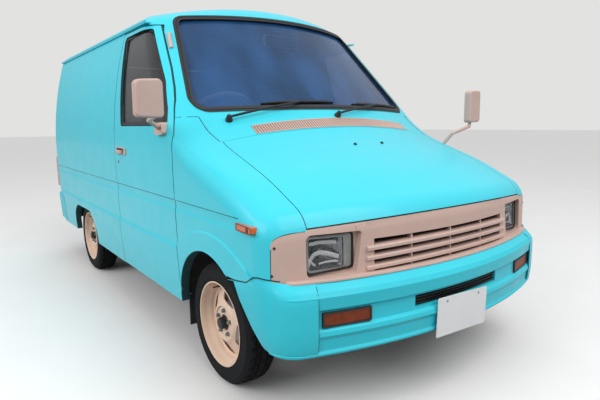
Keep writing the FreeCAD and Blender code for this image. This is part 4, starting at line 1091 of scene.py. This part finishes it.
def fascia_lip():
    """Beige ledge along the bottom of the fascia, round both corners."""
    left = []
    for k in range(25):
        first = 0.0225 * (1 - min(1.0, k / 24 / 0.45)) ** 2
        left.append(bumper_place(k / 24, LIP_DEPTH + first, 1.734))
    left += [(bumper_front(y, LIP_DEPTH), y) for y in (0.60, 0.50, 0.40, 0.30, 0.20, 0.10, 0.0)]
    plan = [Vector(p) for p in left + [(x, -y) for x, y in left[-2::-1]]]
    bm = bmesh.new()
    rings = []
    for i, here in enumerate(plan):
        along = (plan[min(len(plan) - 1, i + 1)] - plan[max(0, i - 1)]).normalized()
        out = Vector((along.y, -along.x))
        if out.dot(here - Vector((1.2, 0.0))) < 0:
            out = -out
        rings.append([bm.verts.new((*(here + out * o), z)) for o, z in LIP_SECTION])
    skin(bm, rings)
    keep(bm, "fascia_lip", "beige")


def fascia_edges():
    """Dark joint between the fascia and the wings."""
    for side, sign in SIDES:
        nodes = "fender_" + side, "grille_panel"
        spots = []
        for z in (0.588, 0.620, 0.660, 0.700, 0.725):
            spots += border(*nodes, (1.700, 0, z), (1.750, 0, z), (0, -sign, 0))
        for y, z in ((0.805, 0.738), (0.797, 0.748), (0.787, 0.757)):
            spots += border(*nodes, (1.660, sign * y, z), (1.800, sign * y, z), (0, -sign * 0.6, -0.8))
        for y in (0.765, 0.740, 0.715, 0.690, 0.670):
            spots += border(*nodes, (1.680, sign * y, 0), (1.790, sign * y, 0), (0, 0, -1))
        ribbon("fascia_edge_" + side, spots, 0.0034, 0.0004, "seam")


def flare_tips():
    """Runs the wheel arch flare down to the bottom edge of the wing in front of the wheel."""
    corners = [(1.5985, 0.5480, 0.001), (1.5985, 0.6060, 0.001), (1.6090, 0.6025, 0.008),
               (1.6620, 0.5480, 0.001)]
    for side, sign in SIDES:
        slab("flare_tip_" + side, corners, 0.001,
             lambda u, v, d: Vector((u, sign * (0.8365 + 0.04 * (v - 0.56) + d), v)), 0.0088, "paint",
             edge=0.0022)


# Front details

SIGNAL = [(0.476, 0.414, 0.008), (0.668, 0.414, 0.008), (0.668, 0.470, 0.008), (0.476, 0.470, 0.008)]
MARKER = [(1.559, 0.752, 0.006), (1.559, 0.780, 0.004), (1.666, 0.777, 0.004), (1.672, 0.750, 0.006)]
SLOT_HALF_Y, SLOT_Z = 0.266, 0.448
PLATE_HALF = (0.165, 0.0825)
PLATE_TILT, PLATE_MIDDLE = math.radians(-2.4), (1.9486, -0.009, 0.3560)
FRONT_BOLT = [(0.0, 0.0013), (0.0050, 0.0012), (0.0064, 0.0009), (0.0066, 0.0), (0.0066, -0.030),
              (0.0, -0.030)]
REAR_BOLT = [(0.0, 0.0045), (0.0050, 0.0042), (0.0064, 0.0030), (0.0066, -0.006), (0.0, -0.006)]
NOZZLE = [(0.0, 0.0085), (0.0050, 0.0080), (0.0066, 0.0050), (0.0090, 0.0015), (0.0095, 0.0),
          (0.0, -0.001)]


def front_lamps():
    """Surrounds and ribs of the turn signals, rims of the side markers."""
    for side, sign in SIDES:
        spots = seen("front", "turn_signals", rounded(inset(SIGNAL, 0.0032), steps=4), sign)
        ribbon("signal_surround_" + side, spots, 0.0085, 0.0032, "black", closed=True)
        for k in range(5):
            z = 0.426 + 0.008 * k
            spots = seen("front", "turn_signals", between((0.484, z), (0.660, z), 10), sign)
            ribbon("signal_rib_%d_%s" % (k, side), spots, 0.0042, 0.0010, "amber_dark", crown=0.4)
        spots = seen("side", "side_markers", rounded(inset(MARKER, 0.002), steps=3), sign)
        ribbon("marker_rim_" + side, spots, 0.0042, 0.0012, "amber_dark", closed=True)
        spots = seen("side", "side_markers", between((1.640, 0.755), (1.640, 0.776), 4), sign)
        ribbon("marker_end_" + side, spots, 0.020, 0.0012, "amber_dark")


def bumper_slot():
    """Air slot of the bumper, and the shroud and fins behind the louvres; the slot's bed and the shroud are
    near-black painted shade.
    """
    ys = [SLOT_HALF_Y * (k / 8 - 1) for k in range(17)]
    # The bed is a near-black sheet of painted shade deep in the slot
    rows = [("bed", 0.034, SLOT_Z, 0.050, 0.001, "black_and_painted_shade")]
    rows += [("bar_%d" % k, 0.032, 0.4355 + 0.0125 * k, 0.003, 0.008, "black") for k in range(3)]
    for part, depth, z, width, height, material in rows:
        spots = [(Vector((bumper_front(y, depth), y, z)), AHEAD) for y in ys]
        ribbon("bumper_slot_" + part, spots, width, height, material)
    # Radiator shroud in near black, painted shade behind the louvres
    block("radiator_shroud", (1.786, -0.470, 0.566), (1.792, 0.470, 0.714), "black_and_painted_shade", radius=0.002)
    bm = bmesh.new()
    for k in range(60):
        y = -0.42 + 0.84 * (k + 0.5) / 60
        for vert in bmesh.ops.create_cube(bm, size=1.0)["verts"]:
            vert.co = Vector((1.794 + vert.co.x * 0.006, y + vert.co.y * 0.003, 0.640 + vert.co.z * 0.130))
    keep(bm, "radiator_fins", "black")


def front_plate():
    tilt = Matrix.Rotation(PLATE_TILT, 2)

    def facing(u, v, depth):
        spot = tilt @ Vector((u, v))
        return Vector(PLATE_MIDDLE) + Vector((depth, spot.x, spot.y))
    u, v = PLATE_HALF
    slab("front_plate", oblong(-u, -v, u, v), 0.010, facing, 0.0007, "plate", edge=0.0003)
    u, v = u - 0.006, v - 0.006
    rim = rounded(oblong(-u, -v, u, v), 0.008)
    ribbon("front_plate_rim", [(facing(p.x, p.y, 0.0007), AHEAD) for p in rim], 0.003, 0.0005, "plate",
           closed=True)
    for k, u in enumerate((-0.105, 0.105)):
        knob("front_plate_bolt_%d" % k, facing(u, 0.062, 0.0), AHEAD, FRONT_BOLT, "steel", segments=6)
        block("front_plate_leg_%d" % k, (1.9100, u - 0.020, 0.296), (1.9482, u + 0.004, 0.3045), "black",
              radius=0.002)


def small_fittings():
    """Holder on the driver's pillar, and the washer nozzles."""
    spots = seen("top", "windscreen_frame", [(0.520, -0.657), (0.555, -0.669), (0.600, -0.680)])
    ribbon("pillar_holder", spots, 0.022, 0.010, "beige", crown=0.7)
    for k, y in enumerate((-0.090, 0.091)):
        (spot, normal), = seen("top", "hood", [(1.369, y)])
        knob("washer_nozzle_%d" % k, spot, normal, NOZZLE, "black", "hood_body", 20)


# Doors and mirrors

DOOR_SKIN_Y, DOOR_LINING_Y = 0.8462, 0.7985
LOCK = [(0.0, 0.0022), (0.0052, 0.0022), (0.0062, 0.0034), (0.0098, 0.0030), (0.0112, 0.0010),
        (0.0112, -0.001), (0.0, -0.001)]
CRANK_HUB = [(0.0, 0.020), (0.012, 0.020), (0.016, 0.012), (0.018, 0.0), (0.0, 0.0)]


def door_details():
    """Handle, lock, card, arm rest and window crank of each door."""
    for side, sign in SIDES:
        body = "door_%s_body" % side

        def outward(u, v, depth):
            return Vector((u, sign * (DOOR_SKIN_Y + depth), v))

        def inward(u, v, depth):
            return Vector((u, sign * (DOOR_LINING_Y + depth), v))
        slab("handle_base_" + side, [(0.093, 0.972), (0.263, 0.972), (0.263, 1.010), (0.093, 1.016)],
             0.008, outward, 0.006, "beige", body, 0.0012, replaces=["door_handle_" + side])
        # The well is a near-black sheet of painted shade in the handle's recess
        slab("handle_well_" + side, [(0.106, 0.980), (0.226, 0.980), (0.226, 1.006), (0.106, 1.009)],
             0.005, lambda u, v, d: outward(u, v, d + 0.0055), 0.0010, "black_and_painted_shade", body, 0.0002)
        slab("handle_paddle_" + side, [(0.112, 0.978), (0.216, 0.978), (0.216, 0.996), (0.112, 0.998)],
             0.004, lambda u, v, d: outward(u, v, d + 0.0050), 0.0130, "beige", body, 0.0020)
        knob("door_lock_" + side, outward(0.107, 0.926, 0.0), (0, sign, 0), LOCK, "steel", body)
        # Key slot in near black, painted shade in the keyhole
        block("door_key_slot_" + side, outward(0.1062, 0.9215, 0.0024), outward(0.1078, 0.9305, 0.0034),
              "black_and_painted_shade", body, 0.0003)
        slab("door_card_" + side, oblong(0.110, 0.440, 0.860, 1.085), 0.050, inward, 0.009, "dash", body,
             0.003)
        slab("door_card_panel_" + side, oblong(0.170, 0.520, 0.800, 0.840), 0.040,
             lambda u, v, d: inward(u, v, d - 0.006), 0.008, "cloth", body, 0.003)
        block("door_armrest_" + side, (0.230, sign * 0.745, 0.880), (0.600, sign * 0.802, 0.925), "dash",
              body, 0.012)
        hub = Vector((0.640, sign * 0.794, 0.700))
        knob("window_crank_hub_" + side, hub, (0, -sign, 0), CRANK_HUB, "black", body)
        steps = ((0, -0.014, 0), (-0.05, -0.026, -0.02), (-0.10, -0.030, -0.04))
        bar("window_crank_" + side, [hub + Vector((x, sign * y, z)) for x, y, z in steps], 0.006, "black",
            body)


def mirror_glasses():
    for side, body, x, y_low, y_high, z_low, z_high in (
            ("right", "door_right_body", 1.0618, -1.040, -0.941, 1.182, 1.318),
            ("left", "body", 1.2318, 0.956, 1.040, 1.146, 1.315)):
        slab("mirror_glass_" + side, oblong(y_low, z_low, y_high, z_high), 0.014,
             lambda u, v, d: Vector((x - d, u, v)), 0.0022, "bright", body, 0.0006)


WIPER_SETS = (
    # pivot, arm end on the blade, blade ends, all as (y, z) on the glass
    ((-0.590, 1.158), (-0.180, 1.2400), (-0.395, 1.2340), (0.034, 1.2450)),
    ((-0.004, 1.176), (0.400, 1.2365), (0.172, 1.2370), (0.655, 1.2250)),
)
WIPER_PIVOT = [(0.0, 0.034), (0.0085, 0.033), (0.0120, 0.028), (0.0130, 0.016), (0.0165, 0.012),
               (0.0180, 0.0), (0.0, 0.0)]


def wipers():
    seats_of_wiper = "windscreen_frame windscreen_seal windscreen"

    def lifted(a, b, steps, height):
        """Spots along a line on the glass, each lifted by height(share of the line)."""
        spots = seen("front", seats_of_wiper, between(a, b, steps))
        return [(p + n * height(i / steps), n) for i, (p, n) in enumerate(spots)]
    for k, (pivot, hold, start, stop) in enumerate(WIPER_SETS):
        (root, normal), = seen("front", seats_of_wiper, [pivot])
        knob("wiper_pivot_%d" % k, root - normal * 0.002, normal, WIPER_PIVOT, "black",
             replaces=() if k else ["wipers"])
        arm = lifted(pivot, hold, 8, lambda t: 0.020 + 0.008 * math.sin(math.pi * t) - 0.002 * t)
        bow = lifted(start, stop, 12, lambda t: 0.0105 + 0.0065 * math.sin(math.pi * t))
        ribbon("wiper_arm_%d" % k, arm, 0.0125, 0.006, "black", sink=0.001, crown=0.6)
        ribbon("wiper_rubber_%d" % k, lifted(start, stop, 12, lambda t: 0.0012), 0.0070, 0.0095, "black_and_painted_shade",
               sink=0.0, crown=0.9, slot="rubber")
        ribbon("wiper_bow_%d" % k, bow[1:-1], 0.0130, 0.0050, "black", sink=0.001, crown=0.7)


# Cab

CUSHION_CUTS, CUSHION_POWER = 17, 5.0
BACK_LEAN, BACK_PIVOT = math.radians(-11), Vector((0.02, 0, 0.80))


def cushion(name, low, high, bulge, channels=3, lean=0.0, replaces=()):
    """Padded block: a fine box with a domed front, soft edges and sewn channels."""
    bm = bmesh.new()
    bmesh.ops.create_cube(bm, size=2.0)
    bmesh.ops.subdivide_edges(bm, edges=bm.edges[:], cuts=CUSHION_CUTS, use_grid_fill=True)
    low, high = Vector(low), Vector(high)
    middle, half = (low + high) / 2, (high - low) / 2
    thin = min(range(3), key=lambda i: half[i])
    wide, tall = [i for i in range(3) if i != thin]
    turn = Matrix.Rotation(lean, 3, "Y")
    for vert in bm.verts:
        c = vert.co.copy()
        c = c / max(sum(abs(v) ** CUSHION_POWER for v in c) ** (1 / CUSHION_POWER), 1e-6)
        dome = max(0.0, (1 - c[wide] ** 2) * (1 - c[tall] ** 2))
        groove = 0.0
        for k in range(channels):
            place = -0.55 + 1.1 * k / max(1, channels - 1)
            groove += math.exp(-((c[1] - place) / 0.035) ** 2)
        if abs(c[thin]) > 0.5:
            c[thin] += math.copysign(1, c[thin]) * (bulge * dome - 0.07 * groove * dome ** 0.3)
        spot = Vector((c[i] * half[i] for i in range(3))) + middle
        vert.co = BACK_PIVOT + turn @ (spot - BACK_PIVOT) if lean else spot
    keep(bm, name, "cloth", smooth=60, replaces=replaces)


def seats():
    for who, sign in (("driver", -1), ("passenger", 1)):
        y0, y1 = sorted((sign * 0.155, sign * 0.635))
        tag, y = "seat_" + who, (y0 + y1) / 2
        cushion(tag + "_base", (-0.010, y0, 0.716), (0.472, y1, 0.842), 0.10, replaces=[tag])
        cushion(tag + "_back", (-0.045, y0 + 0.01, 0.800), (0.085, y1 - 0.01, 1.400), 0.12, lean=BACK_LEAN)
        block(tag + "_box", (0.022, y0 + 0.04, 0.4155), (0.418, y1 - 0.04, 0.720), "black", radius=0.012)
        cushion(tag + "_head_rest", (-0.160, y - 0.13, 1.350), (-0.100, y + 0.13, 1.440), 0.10, 0)


def headliner():
    """Cloth-covered lining under the roof of the cab."""
    bm = bmesh.new()
    rows = []
    for x in [-0.24 + 0.60 * i / 14 for i in range(15)]:
        spots = [cast("roof_panel", (x, -0.66 + 1.32 * j / 28, 1.30), (0, 0, 1))[0] for j in range(29)]
        rows.append([bm.verts.new(p - Vector((0, 0, 0.012))) if p else None for p in spots])
    for a, b in zip(rows, rows[1:]):
        for j in range(28):
            cell = (a[j], a[j + 1], b[j + 1], b[j])
            if all(cell) and max(v.co.z for v in cell) - min(v.co.z for v in cell) < 0.03:
                bm.faces.new(cell)
    bmesh.ops.delete(bm, geom=[v for v in bm.verts if not v.link_faces], context="VERTS")
    solid = keep(bm, "headliner", "lining").modifiers.new("thickness", "SOLIDIFY")
    solid.thickness = 0.004
    solid.offset = 0.0


def steering_wheel():
    axis = Vector((-math.cos(STEERING_LEAN), 0, math.sin(STEERING_LEAN)))
    body = "steering_wheel_body"
    torus("steering_rim", STEERING, axis, 0.185, 0.0135, "rim", body, ["steering_wheel"])
    knob("steering_boss", STEERING - axis * 0.038, axis, [
        (0.0, 0.048), (0.030, 0.047), (0.044, 0.040), (0.050, 0.026), (0.046, 0.0), (0.0, 0.0),
    ], "rim", body, 48)
    down = Vector((0, 1, 0)).cross(axis)
    if down.z > 0:
        down = -down
    for k, way in enumerate((Vector((0, 1, 0)), Vector((0, -1, 0)), down)):
        steps = ((0.010, 0.035), (0.012, 0.11), (0.0, 0.178))
        bar("steering_spoke_%d" % k, [STEERING - axis * a + way * b for a, b in steps], 0.0095, "rim", body)


def cab():
    """Instruments, air outlets, glove lid and inside mirror."""
    block("instrument_hood", (0.800, -0.560, 1.060), (0.940, -0.240, 1.165), "dash", radius=0.020)
    block("instrument_face", (0.794, -0.540, 1.075), (0.801, -0.260, 1.150), "black_and_painted_shade")
    for k, y in enumerate((-0.465, -0.335)):
        torus("gauge_ring_%d" % k, (0.7935, y, 1.112), (1, 0, 0), 0.030, 0.0022, "steel")
        bar("gauge_hand_%d" % k, [(0.7925, y, 1.112), (0.7925, y + 0.018, 1.126)], 0.0011, "amber",
            bent=False)
    for k, y in enumerate((-0.640, -0.150, 0.150, 0.620)):
        block("air_outlet_%d" % k, (0.806, y - 0.040, 0.985), (0.822, y + 0.040, 1.030), "black")
    block("glove_lid", (0.806, 0.240, 0.900), (0.826, 0.560, 0.975), "dash", radius=0.006)
    block("cabin_mirror_shell", (0.597, -0.122, 1.585), (0.618, 0.122, 1.655), "pale", radius=0.008)
    slab("cabin_mirror_glass", oblong(-0.113, 1.592, 0.113, 1.648), 0.016,
         lambda u, v, d: Vector((0.5975 - d, u, v)), 0.0016, "bright", edge=0.0004)


# Rear

LAMP_BANDS = ((0.815, 0.062, "amber"), (0.648, 0.066, "lens"))
GATE_WIPER_PIVOT = [(0.0, 0.020), (0.008, 0.019), (0.012, 0.014), (0.014, 0.0), (0.0, -0.002)]
PLATE_STANDOFF = 0.0075


def rear_details():
    """Rims and bands of the tail lamps; plate, lamp, handle and wiper of the tailgate."""
    gate, back = "tailgate_body", -AHEAD
    for side, sign in SIDES:
        outline = rounded([(0.829, 0.606), (0.748, 0.606), (0.748, 0.854), (0.829, 0.854)], 0.006, 3)
        ribbon("tail_lamp_rim_" + side, seen("rear", "tail_lamps", outline, sign), 0.0070, 0.0020,
               "black", closed=True)
        for k, (z, height, material) in enumerate(LAMP_BANDS):
            spots = seen("rear", "tail_lamps", between((0.754, z), (0.823, z), 6), sign)
            ribbon("tail_lamp_band_%d_%s" % (k, side), spots, height, 0.0012, material, crown=0.98)
    (spot, _), = seen("rear", "tailgate", [(0, 0.82)])
    x = spot.x - PLATE_STANDOFF
    slab("rear_plate", oblong(-0.165, 0.740, 0.165, 0.905), 0.010, lambda u, v, d: Vector((x - d, u, v)),
         0.0014, "plate", gate, 0.0004, slot="paint")
    for y in (-0.105, 0.105):
        knob("rear_plate_bolt_%d" % round(1000 * y + 500), (x, y, 0.885), back, REAR_BOLT, "steel", gate, 6)
    block("rear_plate_lamp", (x - 0.016, -0.060, 0.915), (x + 0.010, 0.060, 0.940), "black", gate)
    block("gate_handle", (x - 0.014, -0.085, 0.985), (x + 0.010, 0.085, 1.015), "beige", gate, 0.006)
    (spot, _), = seen("rear", "tailgate", [(0, 1.095)])
    knob("rear_wiper_pivot", spot, back, GATE_WIPER_PIVOT, "black", gate)
    arm = [(Vector((spot.x - 0.015, 0.062 * k, 1.097 + 0.0155 * k)), back) for k in range(7)]
    ribbon("rear_wiper_arm", arm, 0.010, 0.004, "black", gate)
    spots = seen("rear", "tailgate_glass", between((0.10, 1.185), (0.46, 1.200), 10))
    ribbon("rear_wiper_rubber", [(p + n * 0.001, n) for p, n in spots], 0.006, 0.011, "rubber", gate)


for make in (dress_cad, wheels, belt_lines, window_rubbers, seams, arch_lips, arch_walls, vent_grid,
             headlamps, bumper_corners, fascia_lip, fascia_edges, flare_tips, front_lamps, bumper_slot,
             front_plate, small_fittings, door_details, mirror_glasses, wipers, seats, headliner,
             steering_wheel, cab, rear_details, camera, stage):
    make()
